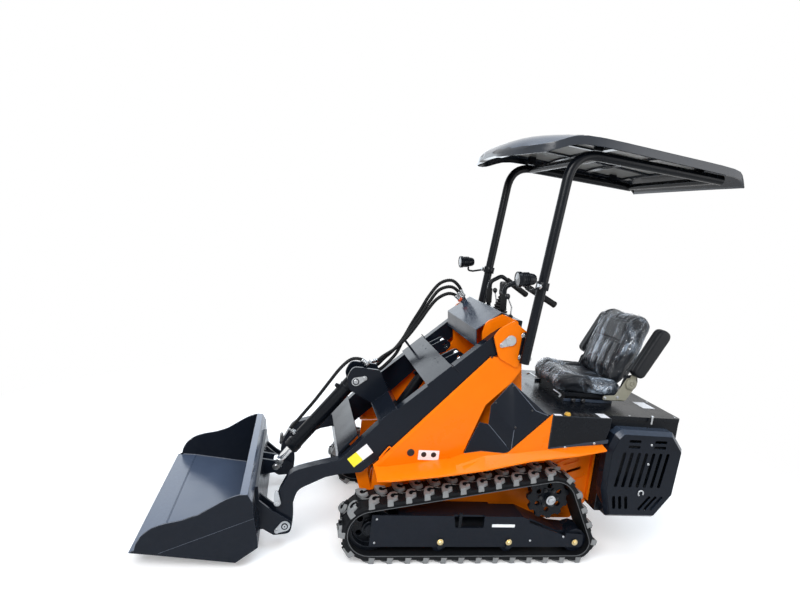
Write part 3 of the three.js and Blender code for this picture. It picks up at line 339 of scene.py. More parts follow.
def turned(at: Point, axis: Point, profile: Sequence[Flat], sides: int = 32, shade: float = 35.0) -> Item:
    """A turned piece, drawn out of a disc by extrusions.

    Args:
        at: Place of the profile's zero height.
        axis: Direction that the heights go.
        profile: Rows of radius and height, from the first disc to the last.
        sides: Facets round the axis.
        shade: Edges sharper than this many degrees stay sharp.

    Returns:
        The new object.
    """
    first, *rest = profile
    bpy.ops.mesh.primitive_circle_add(vertices=sides, radius=max(first[0], POINTED), fill_type="NGON",
        location=(0, 0, first[1]))
    item = apply_place(bpy.context.active_object)
    radius, height = max(first[0], POINTED), first[1]
    with editing():
        bpy.ops.mesh.select_mode(type="FACE")
        bpy.ops.mesh.select_all(action="SELECT")
        for next_radius, next_height in rest:
            next_radius = max(next_radius, POINTED)
            bpy.ops.mesh.extrude_region_move(TRANSFORM_OT_translate={"value": (0, 0, next_height - height)})
            share = next_radius / radius
            bpy.ops.transform.resize(value=(share, share, 1), center_override=(0, 0, next_height))
            radius, height = next_radius, next_height
        bpy.ops.mesh.select_all(action="SELECT")
        bpy.ops.mesh.remove_doubles(threshold=1e-6)
        bpy.ops.mesh.normals_make_consistent(inside=False)
    item.matrix_world = Matrix.Translation(at) @ aim(axis)
    apply_place(item)
    return smooth(item, shade)


def cut_plate(outline: Sequence[Flat], low: float, high: float, plane: str = "XZ", round_by: float = 0.0015,
        holes: Sequence[Sequence[Flat]] = ()) -> Item:
    """A flat plate with a drawn outline.

    Args:
        outline: Corners in the plate's own plane.
        low: Where its thickness starts along the third axis.
        high: Where its thickness ends.
        plane: The outline's axes, XZ or XY.
        round_by: Radius of the edge rounding.
        holes: Outlines cut through it.

    Returns:
        The new object.
    """
    curve = bpy.data.curves.new("plate", "CURVE")
    curve.dimensions = "2D"
    curve.fill_mode = "BOTH"
    curve.extrude = (high - low) / 2 - round_by
    curve.bevel_depth = round_by
    curve.bevel_resolution = 1
    curve.offset = -round_by
    for ring in (outline, *holes):
        spline = curve.splines.new("POLY")
        spline.points.add(len(ring) - 1)
        spline.use_cyclic_u = True
        for point, (u, v) in zip(spline.points, ring):
            point.co = (u, v, 0, 1)
    item = linked("plate", curve)
    activate(item)
    bpy.ops.object.convert(target="MESH")
    middle = (low + high) / 2
    turns = {"XZ": Matrix(((1, 0, 0, 0), (0, 0, -1, middle), (0, 1, 0, 0), (0, 0, 0, 1))),
        "XY": Matrix(((1, 0, 0, 0), (0, 1, 0, 0), (0, 0, 1, middle), (0, 0, 0, 1)))}
    item.matrix_world = turns[plane]
    apply_place(item)
    tidy_mesh(item)
    smooth(item, 40)
    apply_modifier(item, "WEIGHTED_NORMAL", keep_sharp=True, weight=FLAT_WEIGHT)
    return item


def tidy_mesh(item: Item, flat_angle: float = 0.0) -> None:
    """Merges doubled vertices and points the faces outwards.

    Args:
        item: The object to change.
        flat_angle: Degrees under which neighbouring faces are merged, or zero for none.
    """
    activate(item)
    with editing("SELECT"):
        bpy.ops.mesh.remove_doubles(threshold=1e-5)
        if flat_angle:
            bpy.ops.mesh.dissolve_limited(angle_limit=math.radians(flat_angle))
        bpy.ops.mesh.normals_make_consistent(inside=False)


def pipe(points: Sequence[Point], radius: float, sides: int = 6, curved: bool = False, closed: bool = False,
        steps: int = 8) -> Item:
    """A round bar along a path.

    Args:
        points: The path, in order.
        radius: The bar's radius.
        sides: Quarter-turn resolution of its section.
        curved: Whether the path curves through its points, or is straight between them.
        closed: Whether the path comes back to its start.
        steps: Steps between two points of a curved path.

    Returns:
        The new object.
    """
    curve = bpy.data.curves.new("pipe", "CURVE")
    curve.dimensions = "3D"
    curve.bevel_depth = radius
    curve.bevel_resolution = sides
    curve.use_fill_caps = not closed
    curve.resolution_u = steps
    spline = curve.splines.new("BEZIER" if curved else "POLY")
    spline.use_cyclic_u = closed
    if curved:
        spline.bezier_points.add(len(points) - 1)
        for knot, point in zip(spline.bezier_points, points):
            knot.co = point
            knot.handle_left_type = knot.handle_right_type = "AUTO"
    else:
        spline.points.add(len(points) - 1)
        for knot, point in zip(spline.points, points):
            knot.co = (*point, 1)
    item = linked("pipe", curve)
    activate(item)
    bpy.ops.object.convert(target="MESH")
    tidy_mesh(item)
    return smooth(item, 50)


def round_corner(before: Vector, here: Vector, after: Vector, radius: float, steps: int,
        room: float) -> list[Vector]:
    """Points of the bend that takes a corner's place, within a share of each straight beside it."""
    back, ahead = before - here, after - here
    reach = min(radius / math.tan(back.angle(ahead) / 2), back.length * room, ahead.length * room)
    start, end = here + back.normalized() * reach, here + ahead.normalized() * reach
    shares = [step / steps for step in range(steps + 1)]
    return [start.lerp(here, t).lerp(here.lerp(end, t), t) for t in shares]


def bent_path(corners: Sequence[Point], bend: float, steps: int = 6) -> list[Point]:
    """Straight runs through corners, joined by bends of one radius, with some steps in each."""
    places = [Vector(corner) for corner in corners]
    bends = [round_corner(*three, bend, steps, math.inf) for three in zip(places, places[1:], places[2:])]
    return [tuple(point) for point in (places[0], *sum(bends, []), places[-1])]


def circle(u: float, v: float, radius: float, sides: int = 32) -> list[Flat]:
    """Corners of a circle in a plane."""
    return [(u + radius * math.cos(math.tau * k / sides), v + radius * math.sin(math.tau * k / sides))
        for k in range(sides)]


def rounded(corners: Sequence[Flat], radius: float, steps: int = 4) -> list[Flat]:
    """An outline with each of its corners rounded to one radius, in some steps."""
    places = [Vector(corner) for corner in corners]
    threes = zip(places[-1:] + places, places, places[1:] + places[:1])
    bends = [round_corner(*three, radius, steps, 0.49) for three in threes]
    return [(point.x, point.y) for point in sum(bends, [])]


# ------------------------------------------------------------------ finishes


def put(tree: Tree, socket: Socket, value: object) -> None:
    """Links an input to another socket, or gives it a value; None leaves it alone."""
    if isinstance(value, Socket):
        tree.links.new(value, socket)
    elif value is not None:
        socket.default_value = value


def feed(tree: Tree, node: Node, **inputs: object) -> Node:
    """Sets or links a node's inputs, by their names with underscores for spaces."""
    for key, value in inputs.items():
        put(tree, node.inputs[key.replace("_", " ")], value)
    return node


def add(tree: Tree, kind: str, **inputs: object) -> Node:
    """A new shader node with its inputs fed, by its type without the leading ShaderNode."""
    return feed(tree, tree.nodes.new(f"ShaderNode{kind}"), **inputs)


def noise(tree: Tree, scale: float, detail: float = 3.0, roughness: float = 0.5,
        stretch: Point = (1, 1, 1)) -> Socket:
    """A noise pattern on object coordinates.

    Args:
        tree: Where it is added.
        scale: Size of the pattern, in repeats per metre.
        detail: Octaves.
        roughness: How strong the finer octaves are.
        stretch: Scale along each axis.

    Returns:
        The pattern's value socket.
    """
    place = add(tree, "TexCoord").outputs["Object"]
    mapping = add(tree, "Mapping", Vector=place, Scale=stretch)
    return add(tree, "TexNoise", Vector=mapping.outputs["Vector"], Scale=scale, Detail=detail,
        Roughness=roughness).outputs["Fac"]


def ramp(tree: Tree, value: Socket, low: float, high: float, to_low: float | Socket = 0.0,
        to_high: float | Socket = 1.0) -> Socket:
    """A value mapped from the range low to high to the range to_low to to_high, clamped."""
    return add(tree, "MapRange", Value=value, From_Min=low, From_Max=high, To_Min=to_low,
        To_Max=to_high).outputs["Result"]


def math_node(tree: Tree, operation: str, first: Socket, second: Socket | float) -> Socket:
    """One arithmetic step.

    Args:
        tree: Where it is added.
        operation: The operation, such as MULTIPLY.
        first: Its first value.
        second: Its second value, a socket or a number.

    Returns:
        The result's socket.
    """
    node = add(tree, "Math")
    node.operation = operation
    put(tree, node.inputs[0], first)
    put(tree, node.inputs[1], second)
    return node.outputs[0]


def bump(tree: Tree, height: Socket, strength: float | Socket, distance: float,
        under: Socket | None = None) -> Socket:
    """A normal from a height of 0 to 1 and its size in metres, laid over another if there is one."""
    return add(tree, "Bump", Distance=distance, Strength=strength, Height=height,
        Normal=under).outputs["Normal"]


def mixed(tree: Tree, mask: Socket, first: Socket | Colour, second: Socket | Colour) -> Socket:
    """Mixes two colours by a mask.

    Args:
        tree: Where it is added.
        mask: Share of the second colour.
        first: The first colour, a socket or a value.
        second: The second colour, a socket or a value.

    Returns:
        The mixed colour's socket.
    """
    node = add(tree, "Mix")
    node.data_type = "RGBA"
    feed(tree, node, Factor=mask)
    put(tree, node.inputs[6], first)
    put(tree, node.inputs[7], second)
    return node.outputs[2]


def sprayed_skin(group: Tree, start: Node, end: Node) -> None:
    """Sprayed paint: a slow wave of the sheet, a fine orange peel and cloudy gloss."""
    wave = bump(group, noise(group, 5.0, 1.0), start.outputs["Wave"], 0.02)
    peel = bump(group, noise(group, 420.0, 2.0), start.outputs["Peel"], 0.0006, wave)
    cloud = noise(group, 7.0, 5.0, 0.62)
    rough = ramp(group, cloud, 0.35, 0.7, start.outputs["Rough Low"], start.outputs["Rough High"])
    feed(group, end, Normal=peel, Roughness=rough, Cloud=cloud)


def settled_dust(group: Tree, start: Node, end: Node) -> None:
    """Thin dust that lies on what faces up, and thickens towards the ground."""
    facing = add(group, "SeparateXYZ", Vector=add(group, "NewGeometry").outputs["Normal"])
    upward = ramp(group, facing.outputs["Z"], 0.35, 0.95)
    height = add(group, "SeparateXYZ", Vector=add(group, "TexCoord").outputs["Object"])
    low = ramp(group, height.outputs["Z"], 0.0, 0.45, 1.0, 0.0)
    speckle = ramp(group, noise(group, 38.0, 6.0, 0.7), 0.42, 0.72)
    both = math_node(group, "ADD", math_node(group, "MULTIPLY", upward, start.outputs["On Top"]),
        math_node(group, "MULTIPLY", low, start.outputs["Near Ground"]))
    feed(group, end, Mask=math_node(group, "MULTIPLY", both, speckle))


def worn_edge(group: Tree, start: Node, end: Node) -> None:
    """Mask of the corners, where the paint is both scuffed bare and lightened as a painted highlight."""
    corner = ramp(group, add(group, "NewGeometry").outputs["Pointiness"], 0.52, 0.62)
    broken = ramp(group, noise(group, 60.0, 5.0, 0.65), 0.45, 0.65)
    mask = math_node(group, "MULTIPLY", corner, broken)
    feed(group, end, Mask=math_node(group, "MULTIPLY", mask, start.outputs["Width"]))


def moulded_grain(group: Tree, start: Node, end: Node) -> None:
    """Fine moulded or cast grain."""
    cells = add(group, "TexVoronoi", Scale=330.0, Vector=add(group, "TexCoord").outputs["Object"])
    pits = math_node(group, "MULTIPLY", cells.outputs["Distance"], 0.7)
    height = math_node(group, "ADD", pits, noise(group, 160.0, 4.0, 0.6))
    feed(group, end, Normal=bump(group, height, start.outputs["Depth"], 0.0008),
        Tone=noise(group, 9.0, 5.0, 0.6))


# maker of the nodes: name of the group, its number inputs, its outputs
EFFECTS = {
    sprayed_skin: ("Sprayed skin", ("Peel", "Wave", "Rough Low", "Rough High"),
        ("Normal", "Roughness", "Cloud")),
    settled_dust: ("Settled dust", ("On Top", "Near Ground"), ("Mask",)),
    worn_edge: ("Worn edge", ("Width",), ("Mask",)),
    moulded_grain: ("Moulded grain", ("Depth",), ("Normal", "Tone")),
}


def effect(tree: Tree, maker: Callable[[Tree, Node, Node], None], **values: float) -> Node:
    """Places a shared node group in a material; the group itself is made once.

    Args:
        tree: The material's tree.
        maker: Adds the group's nodes between its input and its output node.
        **values: Its inputs, with underscores for spaces.

    Returns:
        The group's node.
    """
    name, inputs, outputs = EFFECTS[maker]
    group = bpy.data.node_groups.get(name)
    if group is None:
        group = bpy.data.node_groups.new(name, "ShaderNodeTree")
        for key in inputs:
            group.interface.new_socket(key, in_out="INPUT", socket_type="NodeSocketFloat")
        for key in outputs:
            kind = "NodeSocketVector" if key == "Normal" else "NodeSocketFloat"
            group.interface.new_socket(key, in_out="OUTPUT", socket_type=kind)
        maker(group, group.nodes.new("NodeGroupInput"), group.nodes.new("NodeGroupOutput"))
    node = add(tree, "Group")
    node.node_tree = group
    return feed(tree, node, **values)


def tinted(colour: Point, share: float) -> Colour:
    """A colour made lighter or darker by a factor, with its alpha."""
    return (*(min(1.0, channel * share) for channel in colour), 1.0)


DUST: Colour = (0.36, 0.33, 0.29, 1.0)


@dataclass(frozen=True)
class Finish:
    """What every finish has: a name, a slot in the record and a colour."""

    name: str
    slot: str
    colour: Point

    def shader(self) -> tuple[bpy.types.Material, Tree, Node]:
        """A new material, its tree and its surface shader."""
        material = bpy.data.materials.new(self.name)
        material.use_nodes = True
        return material, material.node_tree, material.node_tree.nodes["Principled BSDF"]

    def build(self) -> bpy.types.Material:
        """Makes the material; each kind of finish has its own way."""
        raise NotImplementedError

    def material(self) -> bpy.types.Material:
        """The finish's material, made once."""
        return bpy.data.materials.get(self.name) or self.build()


@dataclass(frozen=True)
class Paint(Finish):
    """Sprayed paint under a clear gloss."""

    rough: float = 0.2
    coat: float = 0.0
    specular: float = 0.5
    peel: float = 0.03
    wave: float = 0.02
    dust_top: float = 0.0
    dust_low: float = 0.0
    worn: float = 0.25

    def build(self) -> bpy.types.Material:
        """Makes the material with its peel, clouds, dust, and scuffed corners lightened as a painted
        highlight.
        """
        material, tree, shader = self.shader()
        skin = effect(tree, sprayed_skin, Peel=self.peel, Wave=self.wave, Rough_Low=self.rough * 0.8,
            Rough_High=self.rough * 1.35)
        dust = effect(tree, settled_dust, On_Top=self.dust_top, Near_Ground=self.dust_low).outputs["Mask"]
        edge = effect(tree, worn_edge, Width=self.worn).outputs["Mask"]
        body = mixed(tree, skin.outputs["Cloud"], tinted(self.colour, 0.9), tinted(self.colour, 1.1))
        # corners turn lighter: partly scuffed paint, partly a painted edge highlight
        worn_and_highlit_colour = mixed(tree, edge, body, tinted(self.colour, 1.9))
        dull = math_node(tree, "ADD", skin.outputs["Roughness"], math_node(tree, "MULTIPLY", dust, 0.6))
        feed(tree, shader, Base_Color=mixed(tree, dust, worn_and_highlit_colour, DUST), Roughness=dull,
            Normal=skin.outputs["Normal"], Specular_IOR_Level=self.specular, Coat_Weight=self.coat,
            Coat_Roughness=0.05)
        return material


@dataclass(frozen=True)
class Moulded(Finish):
    """Moulded rubber or plastic with a fine grain."""

    rough: float = 0.45
    depth: float = 0.3
    dust_top: float = 0.0
    dust_low: float = 0.0
    specular: float = 0.3

    def build(self) -> bpy.types.Material:
        """Makes the material with its grain and dust."""
        material, tree, shader = self.shader()
        grain = effect(tree, moulded_grain, Depth=self.depth)
        tone = grain.outputs["Tone"]
        dust = effect(tree, settled_dust, On_Top=self.dust_top, Near_Ground=self.dust_low)
        body = mixed(tree, tone, tinted(self.colour, 0.75), tinted(self.colour, 1.3))
        feed(tree, shader, Base_Color=mixed(tree, dust.outputs["Mask"], body, DUST),
            Roughness=ramp(tree, tone, 0.3, 0.7, self.rough * 0.85, self.rough * 1.15),
            Normal=grain.outputs["Normal"], Specular_IOR_Level=self.specular)
        return material


@dataclass(frozen=True)
class BareMetal(Finish):
    """Plated or bare metal with fine marks."""

    rough: float = 0.25
    marks: float = 0.15

    def build(self) -> bpy.types.Material:
        """Makes the material with its marks and cloudy tone."""
        material, tree, shader = self.shader()
        cloud = noise(tree, 40.0, 5.0, 0.6)
        feed(tree, shader, Base_Color=mixed(tree, cloud, tinted(self.colour, 0.8),
            tinted(self.colour, 1.15)),
            Roughness=ramp(tree, cloud, 0.3, 0.7, self.rough * 0.7, self.rough * 1.4),
            Normal=bump(tree, noise(tree, 500.0, 2.0), self.marks, 0.0003), Metallic=1.0)
        return material


@dataclass(frozen=True)
class Plain(Finish):
    """Printed or glazed small parts: one even colour with a faint cloud in its gloss."""

    rough: float = 0.4
    specular: float = 0.5

    def build(self) -> bpy.types.Material:
        """Makes the material with its cloudy gloss and a slight unevenness of tone."""
        material, tree, shader = self.shader()
        cloud = noise(tree, 30.0, 4.0, 0.6)
        feed(tree, shader, Base_Color=mixed(tree, cloud, tinted(self.colour, 0.92),
            tinted(self.colour, 1.06)),
            Roughness=ramp(tree, cloud, 0.3, 0.7, self.rough * 0.8, self.rough * 1.2),
            Specular_IOR_Level=self.specular)
        return material


@dataclass(frozen=True)
class Film(Finish):
    """Clear packing film with hazy patches and glossy creases, with light streaks along them painted as
    highlights.
    """

    haze_low: float = 0.2
    haze_high: float = 0.7

    def build(self) -> bpy.types.Material:
        """Makes the material: its cover changes from clear to hazy over the folds, and light streaks over
        the creases are painted highlights.
        """
        material, tree, shader = self.shader()
        folds = noise(tree, 6.0, 3.0, 0.5, (1.0, 2.0, 0.8))
        fine = noise(tree, 20.0, 4.0, 0.55, (1.0, 3.0, 0.5))
        streaks = noise(tree, 7.0, 2.0, 0.5, (1.0, 2.6, 0.5))
        near = math_node(tree, "ABSOLUTE", math_node(tree, "SUBTRACT", streaks, 0.5), 0.0)
        painted_streaks = ramp(tree, near, 0.0, 0.022, 1.0, 0.0)
        haze = math_node(tree, "MULTIPLY", ramp(tree, folds, 0.45, 0.68, 0.05, 1.0),
            ramp(tree, fine, 0.36, 0.66, 0.25, 1.0))
        # thin light streaks over the creases, painted highlights
        crease = math_node(tree, "MULTIPLY", painted_streaks, ramp(tree, folds, 0.4, 0.6, 0.15, 1.0))
        cover = math_node(tree, "MAXIMUM", haze, crease)
        feed(tree, shader, Alpha=ramp(tree, cover, 0.1, 1.0, self.haze_low, self.haze_high),
            Base_Color=mixed(tree, fine, tinted(self.colour, 0.55), tinted(self.colour, 1.5)),
            Roughness=ramp(tree, fine, 0.3, 0.7, 0.08, 0.22), Normal=bump(tree, fine, 0.5, 0.003),
            Specular_IOR_Level=1.0, Coat_Weight=1.0, Coat_Roughness=0.06)
        return material


ORANGE = Paint("Orange enamel", "orange_paint", (0.93, 0.19, 0.001), rough=0.34, coat=0.06, specular=0.16,
    peel=0.06, wave=0.04, dust_top=0.02, dust_low=0.03, worn=0.06)
CHARCOAL = Paint("Charcoal enamel", "charcoal_paint", (0.0062, 0.0088, 0.0145), specular=0.15, peel=0.04,
    wave=0.03, dust_top=0.006, dust_low=0.008)
# lighter bluish steel, painted on the bucket's floor and edge as the sky's reflection
BUCKET_SHEEN_PAINT = Paint("Rubbed bucket steel", "charcoal_paint", (0.058, 0.078, 0.122), dust_top=0.004)
# lighter paints for rounded edges and thin strokes, painted highlights
CHARCOAL_EDGE_HIGHLIGHT = Paint("Charcoal edge", "charcoal_paint", (0.085, 0.100, 0.130), rough=0.25)
BLACK_EDGE_HIGHLIGHT = Paint("Black edge", "black_paint", (0.030, 0.036, 0.046), rough=0.25, specular=0.4)
# grey enamel of the tower cover, seat rails and console lips; on the guards' tops it is a painted sky
# highlight
GREY_ENAMEL_AND_SHEEN = Paint("Grey enamel", "charcoal_paint", (0.028, 0.040, 0.062), specular=0.28, dust_top=0.008,
    dust_low=0.01)
BLACK = Paint("Black enamel", "black_paint", (0.0038, 0.0052, 0.0078), rough=0.26, specular=0.16, peel=0.06,
    wave=0.03, dust_top=0.006, dust_low=0.008)
OLIVE = Paint("Olive grey enamel", "black_paint", (0.30, 0.29, 0.225), rough=0.4, specular=0.3, peel=0.1,
    wave=0.12, dust_top=0.1, dust_low=0.12, worn=0.1)
TRACK = Moulded("Track rubber", "track_rubber", (0.0050, 0.0056, 0.0068), rough=0.55, dust_top=0.004,
    dust_low=0.006, specular=0.14)
RIB = Moulded("Rib rubber", "track_rubber", (0.080, 0.083, 0.086))
# light grey on the black rubber lugs and rib, a painted highlight
LUG_HIGHLIGHT = Moulded("Lug rubber", "track_rubber", (0.200, 0.204, 0.205), rough=0.4, depth=0.4, specular=0.4)
PLASTIC = Moulded("Black plastic", "black_plastic", (0.008, 0.009, 0.011), rough=0.36, depth=0.1,
    dust_top=0.02, dust_low=0.03, specular=0.4)
ROOF = Moulded("Roof plastic", "black_plastic", (0.014, 0.019, 0.028), rough=0.2, depth=0.05, dust_top=0.006,
    specular=0.5)
# lighter roof plastic for the upward faces, a painted sheen
ROOF_TOP_SHEEN = Moulded("Roof crown", "black_plastic", (0.045, 0.060, 0.086), rough=0.16, depth=0.03,
    specular=0.6)
# light grey underside, painted as the pale floor's reflection
LINER_FLOOR_REFLECTION = Moulded("Roof underside", "black_plastic", (0.26, 0.26, 0.245))
FOAM = Moulded("Grip foam", "black_plastic", (0.0055, 0.006, 0.007), rough=0.7, depth=0.5, dust_top=0.03,
    specular=0.25)
VINYL = Moulded("Seat vinyl", "vinyl", (0.005, 0.006, 0.0085), rough=0.4, depth=0.35)
ARM_SKIN = Moulded("Armrest skin", "vinyl", (0.0040, 0.0050, 0.0072), rough=0.42, depth=0.5, specular=0.22)
SEAT_FILM = Film("Seat film", "vinyl", (0.44, 0.53, 0.64), haze_low=0.02, haze_high=0.8)
CHROME = BareMetal("Hard chrome", "chrome", (0.86, 0.87, 0.88), rough=0.08, marks=0.03)
ZINC = BareMetal("Zinc plate", "zinc_plate", (0.46, 0.475, 0.49), rough=0.3, marks=0.3)
BRASS_ZINC = BareMetal("Yellow zinc", "zinc_plate", (0.74, 0.60, 0.32), rough=0.32, marks=0.3)
WHITE_LABEL = Plain("White label", "orange_paint", (0.86, 0.87, 0.90))
YELLOW_LABEL = Plain("Yellow label", "orange_paint", (0.90, 0.80, 0.02))
GOLD_BUTTON = Plain("Gold button", "orange_paint", (0.62, 0.36, 0.05), rough=0.35)
RED_CAP = Plain("Red cap", "orange_paint", (0.75, 0.09, 0.02), rough=0.35)
LAMP_GLASS = Plain("Lamp glass", "chrome", (0.16, 0.17, 0.18), rough=0.08, specular=0.9)


def dress(item: Item, finish: Finish) -> Item:
    """Gives a piece one finish all over."""
    item.data.materials.clear()
    item.data.materials.append(finish.material())
    return item


def repaint(item: Item, finish: Finish, chosen: Callable[[Face], bool]) -> None:
    """Gives some faces of a dressed piece another finish.

    Args:
        item: The piece.
        finish: The other finish.
        chosen: Tells which faces take it.
    """
    item.data.materials.append(finish.material())
    slot = len(item.data.materials) - 1
    for face in item.data.polygons:
        if chosen(face):
            face.material_index = slot


def sliced(item: Item, at: Point, outward: Point) -> None:
    """Cuts a piece off flat, past a point, and closes the cut."""
    activate(item)
    with editing("SELECT"):
        bpy.ops.mesh.bisect(plane_co=at, plane_no=outward, use_fill=True, clear_outer=True)


def mounted(item: Item, name: str, slot: str, body: Body = Body.CHASSIS, stands_for: str = "") -> Item:
    """Names and mounts a piece that is already in its place and dressed.

    Args:
        item: The piece.
        name: Its name.
        slot: Its slot in the record; not used.
        body: The body that it rides on.
        stands_for: The CAD node that it replaces, or nothing.

    Returns:
        The same piece.
    """
    named(item, name)
    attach(item, body.value)
    if stands_for:
        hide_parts(stands_for)
    LOG.info("%s: %d faces", name, len(item.data.polygons))
    return item


def placed(item: Item, name: str, finish: Finish, body: Body = Body.CHASSIS, stands_for: str = "") -> Item:
    """Dresses, names and mounts a piece that is already in its place."""
    return mounted(dress(item, finish), name, finish.slot, body, stands_for)


def both_sides(item: Item, name: str, finish: Finish, bodies: tuple[Body, Body] = CHASSIS_PAIR,
        stands_for: str = "") -> None:
    """Mounts a piece modelled on the left, and its mirror image on the right.

    Args:
        item: The left piece.
        name: Its name without the side.
        finish: Its finish.
        bodies: The bodies that the left and the right piece ride on.
        stands_for: Name, without the side, of the CAD node that each replaces, or nothing.
    """
    twin = copied(item, mirror_y=True)
    for side, piece, body in zip(Side, (item, twin), bodies):
        node = f"{stands_for}_{side.word}" if stands_for else ""
        placed(piece, f"{name}_{side.word}", finish, body, node)


def drawn(name: str, items: Sequence[Item], finish: Finish, body: Body = Body.CHASSIS) -> Item:
    """Joins parts of one finish into one piece and mounts it."""
    return placed(joined(name, items), name, finish, body)


# ------------------------------------------------------------------ fasteners and labels


class Head(Enum):
    """Kinds of fastener heads."""

    HEX = "hex"
    PAN = "pan"
    NUT = "nut"


def head_model(kind: Head, radius: float) -> Item:
    """One fastener head round the origin, standing along +Z.

    Args:
        kind: Its form.
        radius: Radius across its corners.

    Returns:
        The head with its washer.
    """
    origin = (0, 0, 0)
    if kind is Head.PAN:
        return turned(origin, UP, [(radius, 0), (radius, radius * 0.25), (radius * 0.82, radius * 0.5),
            (radius * 0.45, radius * 0.6), (radius * 0.4, radius * 0.3)], 16)
    washer = turned(origin, UP, [(radius * 1.5, 0), (radius * 1.5, radius * 0.18),
        (radius * 1.4, radius * 0.26)], 20)
    height = 0.95 if kind is Head.HEX else 0.7
    head = turned(origin, UP, [(radius, radius * 0.2), (radius, radius * height * 0.85),
        (radius * 0.86, radius * height)], 6, 20)
    parts = [washer, head]
    if kind is Head.NUT:
        parts.append(turned(origin, UP, [(radius * 0.55, radius * 0.6), (radius * 0.55, radius * 1.15),
            (radius * 0.42, radius * 1.25)], 14))
    return joined("head", parts)


def fasteners(name: str, kind: Head, radius: float, places: Sequence[tuple[Point, Point]],
        finish: Finish) -> Item:
    """A set of equal fasteners as one piece, from the foot and the direction of each."""
    spots = [Matrix.Translation(at) @ aim(axis) for at, axis in places]
    return drawn(name, stamped(head_model(kind, radius), spots), finish)


def side_fasteners(name: str, kind: Head, radius: float, feet: Sequence[Point], finish: Finish) -> None:
    """Fasteners that stand outwards on both sides, from the feet of the left ones in millimetres."""
    for side in Side:
        places = [(spot(x, side.value * y, z), (0, side.value, 0)) for x, y, z in feet]
        fasteners(f"{name}_{side.word}", kind, radius, places, finish)


def teardrop(big: Flat, big_radius: float, small: Flat, small_radius: float, steps: int = 14) -> list[Flat]:
    """Outline round two circles, such as a pin retainer's.

    Args:
        big: Centre of the larger circle.
        big_radius: Its radius.
        small: Centre of the smaller circle.
        small_radius: Its radius.
        steps: Points along each arc.

    Returns:
        The closed outline.
    """
    run = Vector(small) - Vector(big)
    heading = math.atan2(run.y, run.x)
    open_by = math.acos((big_radius - small_radius) / run.length)
    ring = []
    for centre, radius, start, end in ((big, big_radius, open_by, math.tau - open_by),
            (small, small_radius, -open_by, open_by)):
        for step in range(steps + 1):
            angle = heading + start + (end - start) * step / steps
            ring.append((centre[0] + radius * math.cos(angle), centre[1] + radius * math.sin(angle)))
    return ring


# ------------------------------------------------------------------ sheet-metal pieces


@dataclass
class RigidShells:
    """Frame nodes kept in shape, with their edges rounded and their paint on; the rounded edges of dark
    paint are lighter, a painted highlight.
    """

    finishes: dict[str, Finish] = field(default_factory=lambda: {"orange_paint": ORANGE,
        "charcoal_paint": CHARCOAL, "black_paint": BLACK, "track_rubber": TRACK, "chrome": CHROME,
        "zinc_plate": ZINC, "vinyl": VINYL, "black_plastic": PLASTIC})
    special: dict[str, Finish] = field(default_factory=lambda: {"tower_cover": GREY_ENAMEL_AND_SHEEN})
    rims: dict[str, Finish] = field(default_factory=lambda: {"charcoal_paint": CHARCOAL_EDGE_HIGHLIGHT,
        "black_paint": BLACK_EDGE_HIGHLIGHT})
    edge: float = 0.0018
    floor_reach: float = 0.5165
    floor_low: float = 0.03
    floor_tilt: float = 0.35
    modelled_elsewhere: tuple[str, ...] = ("rubber_track_", "side_guard_", "canopy_", "headlamp_",
        "seat_cushion", "seat_back", "armrest_", "hand_rail_", "control_box", "boom_hose_", "tilt_hose")

    def build(self) -> None:
        """Makes a rounded shell for every rigid node that has no modelled piece of its own."""
        slots = {part["node"]: part["material_slot"] for part in frame["record"]["subparts"]}
        for node, source in frame["nodes"].items():
            if not node.startswith(self.modelled_elsewhere):
                self.shell(node, source, self.special.get(node, self.finishes[slots[node]]))
        LOG.info("shells: %d nodes", len(frame["nodes"]))

    def shell(self, node: str, source: Item, finish: Finish) -> None:
        """Makes a rounded copy of one node, which replaces it.

        Args:
            node: The node's name.
            source: Its object in the frame.
            finish: Its finish.
        """
        item = linked(f"{node}_shell", source.data.copy())
        tidy_mesh(item, flat_angle=0.6)
        if node == "engine_housing":
            sliced(item, spot(-950, 0, 255), (-0.935, 0, -0.355))
        dress(item, finish)
        # the bevel faces of dark paint get a lighter paint, a painted edge highlight
        rim = self.rims.get(finish.slot)
        if rim:
            item.data.materials.append(rim.material())
        round_edges(item, self.edge, 2, 33.0, material=1 if rim else -1)
        smooth(item, 38.0)
        apply_modifier(item, "WEIGHTED_NORMAL", keep_sharp=True, weight=FLAT_WEIGHT)
        # the bucket's upward floor and back get a lighter colour, a painted sky reflection
        if node == "bucket":
            repaint(item, BUCKET_SHEEN_PAINT, self.on_floor)
        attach(item, source["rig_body"])
        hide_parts(node)

    def on_floor(self, face: Face) -> bool:
        """Whether a face lies on the bucket's floor or back, facing up, where the sky's reflection is
        painted.
        """
        inside = abs(face.center.y) < self.floor_reach and face.center.z > self.floor_low
        return inside and face.normal.z > self.floor_tilt


# ------------------------------------------------------------------ undercarriage


